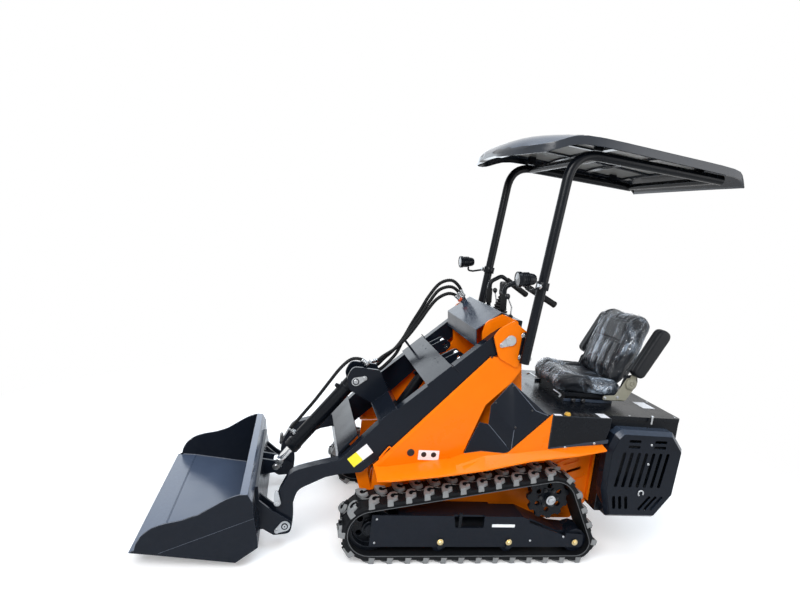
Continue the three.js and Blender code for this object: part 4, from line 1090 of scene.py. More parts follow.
@dataclass
class Tracks:
    """Rubber loops with hooked lugs, and the small parts of the track frames."""

    wheels: tuple[Point, ...] = ((598, 163, 115), (-340, 338, 118), (-512, 114, 66))
    middle_y: float = 410.0
    half_width: float = 90.0
    inner_layer: float = 9.0
    belt: float = 27.0
    hook_low: float = 13.0
    height: float = 45.6
    lug_pitch: float = 94.0
    hook: tuple[Flat, ...] = ((-34, 1), (-31, 34), (-24, 64), (-8, 86), (16, 88), (32, 77), (34, 65),
        (26, 60), (14, 69), (0, 66), (-10, 53), (-9, 36), (0, 28), (9, 33), (10, 45), (28, 45), (32, 37),
        (26, 23), (12, 14), (0, 10), (-2, 1))
    pocket: tuple[Flat, Flat] = ((-15, 26), (30, 68))
    pad: tuple[Flat, ...] = ((-37, 5), (-36, 84), (-14, 92), (24, 91), (37, 74), (37, 16), (16, 5))
    ridge: tuple[float, float, float] = (2.6, 88.0, 9.0)

    def runs(self) -> list[tuple[Point, float, float, float]]:
        """Arcs of the belt's inner face, each with the straight that follows it.

        Returns:
            Rows of wheel, first angle, last angle and length of the straight after it.
        """
        turns = []
        lengths = []
        for (ax, az, ar), (bx, bz, br) in zip(self.wheels, self.wheels[1:] + self.wheels[:1]):
            length = math.hypot(bx - ax, bz - az)
            dx, dz = (bx - ax) / length, (bz - az) / length
            along = (ar - br) / length
            across = math.sqrt(1 - along * along)
            turns.append(math.atan2(dz * along - dx * across, dx * along + dz * across))
            lengths.append(length * across)
        rows = []
        for k, wheel in enumerate(self.wheels):
            start, end = turns[k - 1], turns[k]
            while end < start:
                end += math.tau
            rows.append((wheel, start, end, lengths[k]))
        return rows

    def length(self) -> float:
        """Length of the belt's inner face."""
        return sum((end - start) * wheel[2] + straight for wheel, start, end, straight in self.runs())

    def place(self, distance: float, offset: float) -> tuple[float, float, float]:
        """Where a point of the belt lies.

        Args:
            distance: How far along the inner face.
            offset: How far outwards from it.

        Returns:
            X, Z and the angle of the outward direction.
        """
        left = distance % self.length()
        for (x, z, r), start, end, straight in self.runs():
            if left <= (end - start) * r:
                angle = start + left / r
                return x + (r + offset) * math.cos(angle), z + (r + offset) * math.sin(angle), angle
            left -= (end - start) * r
            if left <= straight:
                across = (-math.sin(end) * left, math.cos(end) * left)
                return (x + (r + offset) * math.cos(end) + across[0], z + (r + offset) * math.sin(end)
                    + across[1], end)
            left -= straight
        return self.place(0.0, offset)

    def layer(self, low: float, high: float, half: float, round_by: float) -> Item:
        """One layer of the belt as a closed loop.

        Args:
            low: Its inner face, from the belt's inner face.
            high: Its outer face.
            half: Half its width.
            round_by: Radius of its edges.

        Returns:
            The loop.
        """
        steps = int(self.length() / 22)
        rings = [side_view(*(self.place(self.length() * k / steps, offset)[:2] for k in range(steps)))
            for offset in (high, low)]
        return cut_plate(rings[0], (self.middle_y - half) * MM, (self.middle_y + half) * MM,
            round_by=round_by, holes=[rings[1]])

    def lug(self) -> Item:
        """One hooked lug on its pad, with U along the belt and V inwards from the outer edge."""
        outline = rounded([(u * MM, v * MM) for u, v in self.hook], 0.006, 2)
        hook = cut_plate(outline, self.hook_low * MM, self.height * MM, "XY", 0.0012)
        with editing():
            bpy.ops.mesh.select_mode(type="VERT")
            bpy.ops.mesh.select_all(action="DESELECT")
        for vertex in hook.data.vertices:
            vertex.select = vertex.co.z > (self.height - 3) * MM
        with editing():
            bpy.ops.transform.resize(value=(0.88, 0.94, 1), center_override=(0, 0.044, self.height * MM))
        base = cut_plate(rounded([(u * MM, v * MM) for u, v in self.pad], 0.012, 3), (self.belt - 3) * MM,
            (self.belt + 4) * MM, "XY", 0.0015)
        # the hook is light grey as a painted highlight; its pocket walls stay black as painted shade
        dress(hook, LUG_HIGHLIGHT)
        repaint(hook, TRACK, self.in_pocket)
        dress(base, TRACK)
        return joined("lug", [hook, base])

    def in_pocket(self, face: Face) -> bool:
        """Whether a lug's face is a wall of its pocket, which keeps the black rubber as painted shade."""
        (u0, v0), (u1, v1) = self.pocket
        u, v, _ = face.center / MM
        return u0 < u < u1 and v0 < v < v1 and abs(face.normal.z) < 0.6

    def rib(self) -> Item:
        """The thin rib that winds between the two rows of lugs, all the way round."""
        radius, middle, swing = self.ridge
        count = round(self.length() / self.lug_pitch)
        points = []
        for k in range(count * 4):
            x, z, _ = self.place(k * self.length() / (count * 4), self.belt + 2.4)
            points.append(spot(x, self.middle_y + self.half_width - middle - swing * (0, 1, 0, -1)[k % 4],
                z))
        rib = pipe(points, radius * MM, 2, curved=True, closed=True, steps=3)
        # the rib takes the same light grey, a painted highlight
        dress(rib, LUG_HIGHLIGHT)
        return rib

    def spots(self, row: int) -> list[Matrix]:
        """Places of the lugs of one row; the second row stands half a pitch on."""
        count = round(self.length() / self.lug_pitch)
        places = []
        for k in range(count):
            x, z, angle = self.place((k + 0.5 * row) * self.length() / count, 0.0)
            out = (math.cos(angle), math.sin(angle))
            at = spot(x, self.middle_y + self.half_width, z)
            places.append(Matrix(((-out[1], 0, out[0], at[0]), (0, -1, 0, at[1]), (out[0], 0, out[1], at[2]),
                (0, 0, 0, 1))))
        return places

    def build(self) -> None:
        """Makes both loops, the bolts of the frames and the blank plate."""
        inner = self.layer(0.3, self.inner_layer, self.half_width - 0.4, 0.002)
        outer = self.layer(self.inner_layer - 1, self.belt, self.half_width - 5, 0.003)
        lip = self.layer(0.5, 4.5, self.half_width - 0.1, 0.001)
        for loop, finish in ((inner, TRACK), (outer, TRACK), (lip, RIB)):
            dress(loop, finish)
        near = self.lug()
        far = copied(near, mirror_y=True)
        far.data.transform(Matrix.Translation((0, 2 * self.half_width * MM, 0)))
        lugs = stamped(near, self.spots(0)) + stamped(far, self.spots(1))
        loop = joined("track", [inner, outer, lip, self.rib(), *lugs])
        self.mount(loop)
        self.frame_trim()

    def mount(self, loop: Item) -> None:
        """Mounts the left loop and its mirror image, with the two rubbers that they carry."""
        for side, piece in zip(Side, (loop, copied(loop, mirror_y=True))):
            mounted(piece, f"track_loop_{side.word}", TRACK.slot, stands_for=f"rubber_track_{side.word}")

    def frame_trim(self) -> None:
        """Axle bolts, the post in the window and a blank plate on the left track frame."""
        face = self.middle_y + 66
        for side in Side:
            out = (0, side.value, 0)
            hub = turned(spot(-340, side.value * 463.5, 338), out,
                [(0.026, 0), (0.026, 0.003), (0.021, 0.005), (0.020, 0.005)], 28)
            nut = turned(spot(-340, side.value * 468, 338), out, [(0.018, 0), (0.018, 0.009), (0.015, 0.011),
                (0.009, 0.011), (0.008, 0.006)], 6, 20)
            drawn(f"sprocket_nut_{side.word}", [hub, nut], ZINC)
            cap = turned(spot(598, side.value * 461.5, 163), out,
                [(0.030, 0), (0.030, 0.004), (0.022, 0.008), (0.012, 0.009)], 20)
            placed(cap, f"idler_cap_{side.word}", BLACK)
            web = turned(spot(598, side.value * 372, 163), out,
                [(0.098, 0), (0.100, 0.002), (0.098, 0.004), (0.030, 0.004)], 40)
            placed(web, f"idler_web_{side.word}", BLACK)
        side_fasteners("axle_bolt", Head.HEX, 0.011, [(x, face + 6, 112) for x in (237, -132, -505)],
            BRASS_ZINC)
        small = [(x, face - 0.2, z) for x, z in ((-252, 118), (-438, 140), (575, 230), (575, 104))]
        side_fasteners("frame_screw", Head.PAN, 0.006, small, ZINC)
        ring = [(x, 439.8, z) for x, z in circle(-340, 338, 46, 6)]
        side_fasteners("sprocket_bolt", Head.HEX, 0.007, ring, PLASTIC)
        post = block(spot(134, self.middle_y + 56, 184), spot(150, self.middle_y + 63, 264), 0.001)
        both_sides(post, "window_post", BLACK)
        plate = cut_plate(rounded(side_view((-30, 192), (-155, 192), (-155, 208), (-30, 208)), 0.003, 3),
            (face - 0.2) * MM, (face + 0.8) * MM, round_by=0.0002)
        placed(plate, "frame_plate", WHITE_LABEL)


# ------------------------------------------------------------------ engine guards


@dataclass
class SideGuards:
    """Eight-sided pressed guards with their cooling slots, beside the engine bay."""

    face: tuple[Flat, ...] = ((-708, 720), (-968, 716), (-1034, 630), (-1022, 388), (-942, 267), (-698, 270),
        (-657, 409), (-654, 606), (-681, 693))
    centre: Flat = (-845, 495)
    foot_y: float = 399.6
    face_y: float = 475.3
    bevel: float = 26.0
    grow: float = 1.08
    face_scale: float = 0.995
    lengthen: float = 1.08
    back_gap: float = 5.0
    sheet: float = 4.0

    def ring(self, scale: float, y: float) -> list[Point]:
        """The face's outline grown about its centre, at a height."""
        cx, cz = self.centre
        corners = rounded([(cx + (x - cx) * scale * self.lengthen, cz + (z - cz) * scale)
            for x, z in self.face], 8, 2)
        return [spot(x, y, z) for x, z in corners]

    def slot(self, x0: float, z0: float, x1: float, z1: float, width: float) -> list[Flat]:
        """Outline of one slot along a line."""
        run = Vector((x1 - x0, z1 - z0))
        side = Vector((-run.y, run.x)).normalized() * width / 2
        corners = [Vector(p) + s for p, s in (((x0, z0), side), ((x0, z0), -side), ((x1, z1), -side),
            ((x1, z1), side))]
        return rounded(side_view(*((c.x, c.y) for c in corners)), width * 0.45 * MM, 3)

    def slots(self) -> list[list[Flat]]:
        """All the slots of the face."""
        rows = [self.slot(-690 - 43 * k, 426, -714 - 43 * k, 622, 19) for k in range(7)]
        rows += [self.slot(x0, z, x1, z, 16) for x0, x1 in ((-728, -798), (-880, -952)) for z in (653, 684)]
        for k in range(3):
            rows.append(self.slot(-690 - 36 * k, 376, -705 - 36 * k, 302, 18))
            rows.append(self.slot(-908 - 37 * k, 376, -850 - 37 * k, 298, 18))
        return rows

    def on_top(self, face: Face) -> bool:
        """Whether a face lies on the upper walls and bevels, which take a lighter grey as a painted sky
        highlight.
        """
        return face.area > 1e-4 and face.normal.z > 0.4

    def build(self) -> None:
        """Makes the left guard with its screws and its latch, and the mirrored right one."""
        inset = self.sheet / 2
        wall = walled([self.ring(self.grow, self.foot_y), self.ring(self.grow, self.face_y - self.bevel),
            self.ring(self.face_scale, self.face_y - inset)], self.sheet * MM)
        outline = [(x, z) for x, _, z in self.ring(self.face_scale + 0.003, self.face_y)]
        face = cut_plate(outline, (self.face_y - self.sheet) * MM, self.face_y * MM, round_by=0.0006,
            holes=self.slots())
        smooth(wall, 15)
        both_sides(joined("guard", [wall, face]), "side_guard_shell", CHARCOAL, CHASSIS_PAIR, "side_guard")
        # the guards' upward faces take a lighter grey, a painted sky highlight
        for side in Side:
            repaint(bpy.data.objects[f"side_guard_shell_{side.word}"], GREY_ENAMEL_AND_SHEEN, self.on_top)
        # a black sheet behind the slots, painted shade that stands in for the dark bay
        shade_backing = cut_plate([(x, z) for x, _, z in self.ring(1.03, 0)], (self.foot_y + self.back_gap) * MM,
            (self.foot_y + self.back_gap + 2) * MM, round_by=0.0004)
        both_sides(shade_backing, "guard_screen", BLACK)
        ribs = [block(spot(-1010, self.face_y - 16, z), spot(-690, self.face_y - 12, z + 8), 0.001)
            for z in (400, 640)]
        both_sides(joined("ribs", ribs), "guard_rib", BLACK)
        hook = [(math.cos(math.radians(a)), math.sin(math.radians(a))) for a in range(-60, 211, 30)]
        latch = pipe([spot(-846 + 15 * c, self.face_y + 3, 396 + 15 * s) for c, s in hook], 0.0045, 3)
        both_sides(latch, "guard_latch", ZINC)
        side_fasteners("guard_screw", Head.PAN, 0.0065, [(-862, self.face_y - 0.2, z) for z in (668, 560)],
            ZINC)


# ------------------------------------------------------------------ canopy


@dataclass
class Canopy:
    """Moulded roof on bent tube posts."""

    edge_z: float = 2193.0
    # x, half width, side edge below edge_z, crown, depth of the side band
    sections: tuple[tuple[float, ...], ...] = ((94, 150, -92, 10, 24), (71, 285, -88, 34, 30),
        (20, 400, -76, 56, 38), (-50, 468, -62, 66, 41), (-120, 487, -30, 44, 41), (-196, 490, 0, 17, 41),
        (-420, 490, -13, 18.5, 41), (-640, 490, -29, 20, 41), (-860, 490, -43, 16, 41),
        (-1060, 490, -57, 12, 41), (-1084, 486, -76, 6, 31), (-1116, 476, -131, 2, 12))
    wall: float = 5.0
    post_y: float = 402.0
    post: tuple[Flat, ...] = ((-108, 1046), (-203, 2118), (-1037, 2084))
    tube_radius: float = 25.0
    bend: float = 150.0
    knobs: tuple[float, ...] = (-330, -900)

    def section(self, x: float) -> list[float]:
        """Half width, edge, crown and band at a value of x, between the given sections."""
        for front, rear in zip(self.sections, self.sections[1:]):
            if x >= rear[0]:
                t = (x - front[0]) / (rear[0] - front[0])
                return [a + (b - a) * t for a, b in zip(front[1:], rear[1:])]
        return list(self.sections[-1][1:])

    def on_roof(self, x: float, across: float, lift: float = 0.0) -> Point:
        """A point of the roof's outer face, from -1 to 1 across, moved up by a lift."""
        half, edge, crown, _ = self.section(x)
        return spot(x, half * across, self.edge_z + edge + crown * (1 - abs(across) ** 4) + lift)

    def shell(self) -> Item:
        """The roof sheet with its turned-down band."""
        count = len(self.sections) - 1
        stations = [row[0] for row in self.sections]

        def surface(u: float, v: float) -> Point:
            return self.on_roof(stations[round((1 - u) * count)], v * 2 - 1)

        item = sheet_patch(count, 18, surface)
        with editing("SELECT"):
            bpy.ops.mesh.region_to_loop()
        for step in range(2):
            with editing():
                bpy.ops.mesh.extrude_region_move()
            for vertex in item.data.vertices:
                if vertex.select:
                    self.turn_down(vertex, step)
        with editing("SELECT"):
            bpy.ops.mesh.normals_make_consistent(inside=False)
        round_edges(item, 0.007, 3, 38)
        apply_modifier(item, "SUBSURF", levels=1, render_levels=1)
        apply_modifier(item, "SOLIDIFY", thickness=self.wall * MM, offset=-1.0)
        return smooth(item, 50)

    def turn_down(self, vertex: bpy.types.MeshVertex, step: int) -> None:
        """Moves a new edge vertex down the band, then in along its lower flange."""
        x = (vertex.co.x - TRACK_MIDDLE_X) / MM
        if step == 0:
            vertex.co.z -= self.section(min(x, self.sections[0][0]))[3] * MM
        else:
            shrink = 1 - 12 * MM / max(abs(vertex.co.y), 0.1)
            vertex.co.y *= shrink
            if x > self.sections[0][0] - 1:
                vertex.co.x -= 0.03

    def strip(self, x0: float, x1: float, t0: float, t1: float, depth: float) -> Item:
        """A strip under the roof that follows its curve.

        Args:
            x0: Its front end.
            x1: Its rear end.
            t0: Its right edge, as a share of the half width.
            t1: Its left edge.
            depth: Its thickness downwards.

        Returns:
            The strip.
        """
        columns = max(1, round((x0 - x1) / 60))
        rows = max(1, round((t1 - t0) * 14))
        item = sheet_patch(columns, rows,
            lambda u, v: self.on_roof(x1 + (x0 - x1) * u, t0 + (t1 - t0) * v, -self.wall - 0.3))
        apply_modifier(item, "SOLIDIFY", thickness=depth * MM, offset=-1.0)
        tidy_mesh(item)
        return smooth(item, 30)

    def frame(self) -> Item:
        """Posts, rails, cross tubes and the bolted feet."""
        sides = []
        for sign in (1, -1):
            corners = [spot(x, sign * self.post_y, z) for x, z in self.post]
            sides.append(pipe(bent_path(corners, self.bend * MM, 10), self.tube_radius * MM, 7))
            foot = rounded(side_view((-80, 1056), (-88, 1204), (-146, 1208), (-144, 1052)), 0.012, 4)
            low, high = sorted((sign * 376.1, sign * 385.8))
            sides.append(cut_plate(foot, low * MM, high * MM))
        rail_z = self.post[2][1]
        bars = [pipe([spot(x, -self.post_y, z), spot(x, self.post_y, z)], 0.020, 6)
            for x, z in ((-330, rail_z + 22), (-1025, rail_z))]
        return joined("frame", sides + bars)

    def build(self) -> None:
        """Makes the roof, its ribs and lining, the frame and its fasteners."""
        roof = placed(self.shell(), "canopy_roof_shell", ROOF, Body.CHASSIS, "canopy_roof")
        # the roof's upward faces take a lighter plastic, a painted sheen
        repaint(roof, ROOF_TOP_SHEEN, lambda face: face.normal.z > 0.55)
        # the lining strips are light grey, a painted reflection of the floor
        lining = [self.strip(x0, x1, -0.9, 0.9, 3) for x0, x1 in ((-215, -452), (-488, -717), (-753, -982))]
        drawn("canopy_lining", lining, LINER_FLOOR_REFLECTION)
        ribs = [self.strip(x + 16, x - 16, -0.94, 0.94, 15) for x in (-196, -470, -735, -1000)]
        ribs += [self.strip(-210, -990, t - 0.025, t + 0.025, 13) for t in (-0.9, -0.31, 0.31, 0.9)]
        drawn("canopy_rib", ribs, ROOF)
        placed(self.frame(), "canopy_frame_tube", BLACK, Body.CHASSIS, "canopy_frame")
        pads = []
        studs = []
        for x in self.knobs:
            for sign in (1, -1):
                u, v, w = self.on_roof(x, sign * self.post_y / 490, -self.wall)
                pads.append(block((u - 0.022, v - 0.012, w - 0.052), (u + 0.022, v + 0.012, w - 0.001),
                    0.003))
                studs.append((self.on_roof(x, sign * self.post_y / 490, -0.2), UP))
        drawn("canopy_pad", pads, BLACK)
        fasteners("canopy_knob", Head.NUT, 0.009, studs, ZINC)
        bolts = [(x, 385.6, z) for x, z in ((-92, 1188), (-139, 1190), (-92, 1072), (-137, 1068))]
        side_fasteners("post_bolt", Head.HEX, 0.0095, bolts, ZINC)


# ------------------------------------------------------------------ lamps and controls


@dataclass
class WorkLamps:
    """Round lamps on clamps at the posts."""

    centre: Point = (-15, 487, 1482)
    clamp: Point = (-144.8, 402, 1450)
    post_lean: Point = (-0.0883, 0, 0.9961)
    drop: float = -0.10

    def build(self) -> None:
        """Makes the left lamp and its mirror image."""
        at = spot(*self.centre)
        ahead = (1, 0, self.drop)
        body = turned(at, ahead, [(0.008, -0.050), (0.020, -0.048), (0.027, -0.038), (0.030, -0.020),
            (0.0335, 0.012), (0.036, 0.026), (0.038, 0.028), (0.038, 0.043), (0.035, 0.045), (0.033, 0.043),
            (0.033, 0.036)], 36)
        fins = [turned(at, ahead, [(0.034, z), (0.0352, z + 0.001), (0.0352, z + 0.003), (0.034, z + 0.004)],
            32) for z in (-0.012, -0.002, 0.008, 0.018)]
        yoke = pipe(bent_path([spot(-32, 487, 1450), spot(-32, 487, 1428), spot(-60, 470, 1428),
            spot(-118, 440, 1446)], 0.014, 4), 0.006, 4)
        both_sides(joined("lamp", [body, *fins, yoke]), "headlamp_body", BLACK, CHASSIS_PAIR, "headlamp")
        bowl = turned(at, ahead, [(0.0325, 0.033), (0.0325, 0.0405), (0.024, 0.034), (0.013, 0.028),
            (0.009, 0.0285), (0.009, 0.034), (0.004, 0.036)], 32)
        both_sides(bowl, "headlamp_reflector", CHROME)
        glass = turned(at, ahead, [(0.0328, 0.0408), (0.0328, 0.0418), (0.024, 0.0438), (0.010, 0.0448)], 32)
        both_sides(glass, "headlamp_lens", LAMP_GLASS)
        sleeve = turned(spot(*self.clamp), self.post_lean, [(0.0256, -0.020), (0.031, -0.020),
            (0.033, -0.017), (0.033, 0.017), (0.031, 0.020), (0.0256, 0.020)], 32)
        lug = block(spot(-118, 424, 1438), spot(-104, 452, 1462), 0.003)
        screw = turned(spot(-111, 451, 1450), LEFTWARD, [(0.008, 0), (0.008, 0.006), (0.006, 0.008)], 6, 20)
        both_sides(sleeve, "headlamp_sleeve", BLACK)
        both_sides(joined("clamp", [lug, screw]), "headlamp_clamp", ZINC)


@dataclass
class Controls:
    """Control box behind the tower, its joystick and levers, and the padded hand rails."""

    half_width: float = 279.7
    box: tuple[Flat, ...] = ((-46, 1190), (-46, 1250), (-122, 1246), (-120, 1190))
    rail: tuple[Point, ...] = ((-70, 120, 1251), (-60, 120, 1400), (-130, 130, 1440), (-330, 200, 1335))
    stick: Flat = (-95, 0)

    def build(self) -> None:
        """Makes the box with its stick, the levers and the rails."""
        box = cut_plate(rounded(side_view(*self.box), 0.006, 3), -self.half_width * MM, self.half_width * MM)
        placed(box, "control_box_shell", BLACK, Body.CHASSIS, "control_box")
        self.joystick()
        self.levers()
        path = bent_path([spot(*corner) for corner in self.rail], 0.035, 6)
        both_sides(pipe(path, 0.0125, 6), "hand_rail_tube", BLACK, CHASSIS_PAIR, "hand_rail")
        last = Vector(path[-1]) - Vector(path[-2])
        start = Vector(path[-1]) - last.normalized() * 0.185
        grip = turned(tuple(start), tuple(last), [(0.013, 0), (0.0165, 0.001), (0.0175, 0.006),
            (0.0175, 0.172), (0.0185, 0.178), (0.0175, 0.186), (0.010, 0.190)], 24)
        upright = turned(spot(-68, 120, 1275), (0.067, 0, 1), [(0.013, 0), (0.0165, 0.001), (0.0172, 0.005),
            (0.0172, 0.085), (0.013, 0.088)], 24)
        both_sides(joined("grips", [grip, upright]), "hand_rail_grip", FOAM)

    def joystick(self) -> None:
        """The bellows and the grip of the joystick."""
        x, y = self.stick
        rings = [(0.044, 0.0), (0.046, 0.004), (0.044, 0.008)]
        for k in range(5):
            radius, height = 0.040 - 0.005 * k, 0.010 + 0.016 * k
            rings += [(radius - 0.008, height), (radius - 0.002, height + 0.005), (radius, height + 0.009),
                (radius - 0.002, height + 0.013)]
        rings += [(0.010, 0.094), (0.0095, 0.105)]
        bellows = turned(spot(x, y, 1244), UP, rings, 32, 50)
        placed(bellows, "joystick_boot", FOAM)
        grip = turned(spot(x, y, 1346), UP, [(0.010, 0), (0.016, 0.004), (0.018, 0.015), (0.0165, 0.03),
            (0.019, 0.05), (0.020, 0.062), (0.016, 0.072), (0.006, 0.074)], 24, 50)
        placed(grip, "joystick_grip", PLASTIC)

    def levers(self) -> None:
        """Thin bent levers with round knobs, beside the joystick."""
        rods = []
        knobs = []
        for y, lean in ((62, 16), (-62, 10), (178, 22), (-178, 6)):
            top = (-88 + lean, y, 1346)
            rods.append(pipe(bent_path([spot(-92, y, 1246), spot(-92, y, 1300), spot(*top)], 0.02, 4), 0.004,
                4))
            knobs.append(turned(spot(*top), (lean * MM, 0, 0.046), [(0.005, -0.004), (0.010, 0.002),
                (0.0135, 0.010), (0.0125, 0.020), (0.006, 0.026)], 20, 60))
        drawn("lever_rod", rods, ZINC)
        drawn("lever_knob", knobs, PLASTIC)
        boots = [turned(spot(-92, y, 1247.5), UP,
            [(0.014, 0), (0.014, 0.003), (0.008, 0.010), (0.006, 0.012)], 20) for y in (62, -62, 178, -178)]
        drawn("lever_boot", boots, FOAM)


# ------------------------------------------------------------------ seat


def reshape(item: Item, move: Callable[[Vector, Vector], Vector]) -> None:
    """Moves every vertex of a piece to where its place and its normal lead."""
    places = [move(vertex.co.copy(), vertex.normal.copy()) for vertex in item.data.vertices]
    item.data.vertices.foreach_set("co", [value for place in places for value in place])
    item.data.update()


def soft_form(node: str, voxel: float, grow: float) -> Item:
    """An even, eased mesh of a soft node.

    Args:
        node: The node's name.
        voxel: Size of the mesh's faces.
        grow: How far it is let out, or drawn in to leave room for its filling.

    Returns:
        The form.
    """
    item = linked(f"{node}_form", frame["nodes"][node].data.copy())
    tidy_mesh(item)
    apply_modifier(item, "REMESH", mode="VOXEL", voxel_size=voxel, adaptivity=0.0)
    apply_modifier(item, "SMOOTH", factor=0.5, iterations=14)
    reshape(item, lambda at, normal: at + normal * grow)
    return item


def fill_with_foam(item: Item, pressure: float, cap: float) -> None:
    """Blows a form up as a filled cover, and caps how far each point may move.

    Args:
        item: The form.
        pressure: The filling's pressure.
        cap: The furthest that a point moves.
    """
    start = [vertex.co.copy() for vertex in item.data.vertices]
    activate(item)
    cloth = item.modifiers.new("Filling", "CLOTH")
    cloth.settings.quality = 5
    cloth.settings.tension_stiffness = 25
    cloth.settings.compression_stiffness = 25
    cloth.settings.bending_stiffness = 1.5
    cloth.settings.use_pressure = True
    cloth.settings.uniform_pressure_force = pressure
    cloth.settings.effector_weights.gravity = 0
    for number in range(1, 21):
        bpy.context.scene.frame_set(number)
    bpy.ops.object.modifier_apply(modifier=cloth.name)
    bpy.context.scene.frame_set(1)
    first = iter(start)

    def held(at: Vector, _: Vector) -> Vector:
        """The vertex's place, no further than the cap from where it began."""
        place = next(first)
        way = at - place
        return place + way.normalized() * cap if way.length > cap else at

    reshape(item, held)


def groove(distance: float, width: float) -> float:
    """Depth, from 0 to 1, of a sewn groove at a distance from its seam."""
    return math.exp(-(distance / width) ** 2)


def segment_distance(point: Flat, start: Flat, end: Flat) -> float:
    """Distance in a plane from a point to a straight seam."""
    run = Vector(end) - Vector(start)
    t = max(0.0, min(1.0, (Vector(point) - Vector(start)).dot(run) / run.length_squared))
    return (Vector(start) + run * t - Vector(point)).length


@dataclass
class Seat:
    """Padded seat in its packing film, with its recliner and folding armrests."""

    hinge: Flat = (-825, 930)
    lean: Flat = (-0.2355, 0.9719)
    foot_z: float = 848.4
    half_width: float = 240.0
    voxel: float = 0.006
    fill: float = 0.8
    arm_inner: float = 259.0
    cushion_seams: tuple[tuple[Flat, Flat], ...] = (((-800, 150), (-500, 150)), ((-500, 150), (-465, 115)),
        ((-465, 115), (-465, -115)), ((-465, -115), (-500, -150)), ((-500, -150), (-800, -150)),
        ((-600, 150), (-600, -150)))
    back_seams: tuple[tuple[Flat, Flat], ...] = (((40, 150), (330, 130)), ((330, 130), (330, -130)),
        ((330, -130), (40, -150)), ((205, 140), (205, -140)), ((40, 72), (205, 72)), ((40, 0), (205, 0)),
        ((40, -72), (205, -72)))

    def build(self) -> None:
        """Makes the cushion, the back, their film, the armrests and the metal parts."""
        self.pad("seat_cushion", self.cushion_shape, Body.CHASSIS, self.foot_z)
        self.pad("seat_back", self.back_shape, Body.SEAT_BACK, 0.0)
        self.armrests()
        self.recliner()
        self.levers()

    def seam_depth(self, point: Flat, seams: Sequence[tuple[Flat, Flat]]) -> float:
        """How deep the nearest of some seams draws a point in."""
        near = min(segment_distance(point, start, end) for start, end in seams)
        return groove(near, 9.0)

    def pad(self, node: str, shape: Callable[[Vector, Vector], Vector], body: Body, foot_z: float) -> None:
        """One filled, sewn pad of the seat and its film.

        Args:
            node: The CAD node that it replaces.
            shape: Gives the place of a point of the filled form.
            body: The body that it rides on.
            foot_z: Height under which the film doesn't reach.
        """
        item = soft_form(node, self.voxel, -0.004)
        fill_with_foam(item, 4.0, 0.012)
        apply_modifier(item, "SUBSURF", levels=1, render_levels=1)
        reshape(item, shape)
        smooth(item, 60)
        placed(item, f"{node}_pad", VINYL, body, node)
        self.film(item, f"{node}_film", body, foot_z)

    def cushion_shape(self, at: Vector, normal: Vector) -> Vector:
        """The dished, sewn cushion's place for a point of the filled form."""
        x, y = (at.x - TRACK_MIDDLE_X) / MM, at.y / MM
        if normal.z > 0.3:
            sag = 20 * math.exp(-((x + 660) / 150) ** 2) * (1 - (y / 190) ** 4 if abs(y) < 190 else 0.0)
            at.z -= (sag + 7 * self.seam_depth((x, y), self.cushion_seams)) * MM
        reach = min(1.0, max(0.0, (x + 600) / 185))
        at.y *= 0.96 * (0.42 + 0.58 * math.sqrt(1 - reach ** 2))
        low = max(0.0, (905 - at.z / MM) / 56)
        at.y *= 1 - 0.03 * low ** 2
        at.x -= 14 * MM * low ** 2 * reach
        at.z = max(at.z, self.foot_z * MM)
        return at

    def back_shape(self, at: Vector, normal: Vector) -> Vector:
        """The hollowed, channelled back's place for a point of the filled form."""
        x = (at.x - TRACK_MIDDLE_X) / MM - self.hinge[0]
        z = at.z / MM - self.hinge[1]
        along = x * self.lean[0] + z * self.lean[1]
        facing = normal.x * self.lean[1] - normal.z * self.lean[0]
        share = max(-0.1, min(1.0, along / 400))
        at.y *= 0.73 + 0.06 * math.sin(math.pi * max(0.0, share)) - 0.11 * max(0.0, share - 0.45) / 0.55
        drop = 52 * MM * (1 - min(1.0, max(0.0, along - 20) / 110)) * max(0.0, min(1.0, (x + 10) / 40))
        at.z -= drop
        if facing > 0.3:
            depth = 8 * self.seam_depth((along, at.y / MM), self.back_seams)
            depth += 14 * math.exp(-((along - 190) / 110) ** 2) * (1 - (at.y / MM / self.half_width) ** 2)
            at.x -= depth * self.lean[1] * MM
            at.z += depth * self.lean[0] * MM
        return at

    def film(self, pad: Item, name: str, body: Body, foot_z: float) -> None:
        """Packing film drawn over a pad, in creases that run from its corners.

        Args:
            pad: The pad that it wraps.
            name: Name of the film.
            body: The body that both ride on.
            foot_z: Height under which it doesn't reach.
        """
        item = copied(pad)
        for key in list(item.keys()):
            del item[key]

        def creased(at: Vector, normal: Vector) -> Vector:
            """The film's place over a point of the pad."""
            broad = 1 - abs(pattern.noise(Vector((at.x * 7, at.y * 16, at.z * 7))))
            crease = 1 - abs(pattern.noise(Vector((at.x * 20 + 4, at.y * 46, at.z * 14 + 9))))
            fine = 1 - abs(pattern.noise(Vector((at.x * 60, at.y * 75 + 3, at.z * 45))))
            lift = 1.2 + 4.0 * broad ** 6 + 3.4 * crease ** 8 + 1.4 * fine ** 6
            out = at + normal * lift * MM
            out.z = max(out.z, (foot_z - 0.2) * MM)
            return out

        reshape(item, creased)
        smooth(item, 180)
        placed(item, name, SEAT_FILM, body)

    def armrests(self) -> None:
        """The padded armrests, each with a sewn line along it."""
        for side, body in zip(Side, (Body.ARMREST_LEFT, Body.ARMREST_RIGHT)):
            item = soft_form(f"armrest_{side.word}", 0.004, 0.009)
            reshape(item, lambda at, normal: at - normal * MM * (2.5 * groove(abs(at.y) / MM - 285, 2.6)
                + 2.0 * groove(abs(at.y) / MM - 303, 2.4)))
            inner = self.arm_inner * MM
            reshape(item, lambda at, _: Vector((at.x, math.copysign(max(abs(at.y), inner), at.y), at.z)))
            smooth(item, 60)
            placed(item, f"armrest_pad_{side.word}", ARM_SKIN, body, f"armrest_{side.word}")

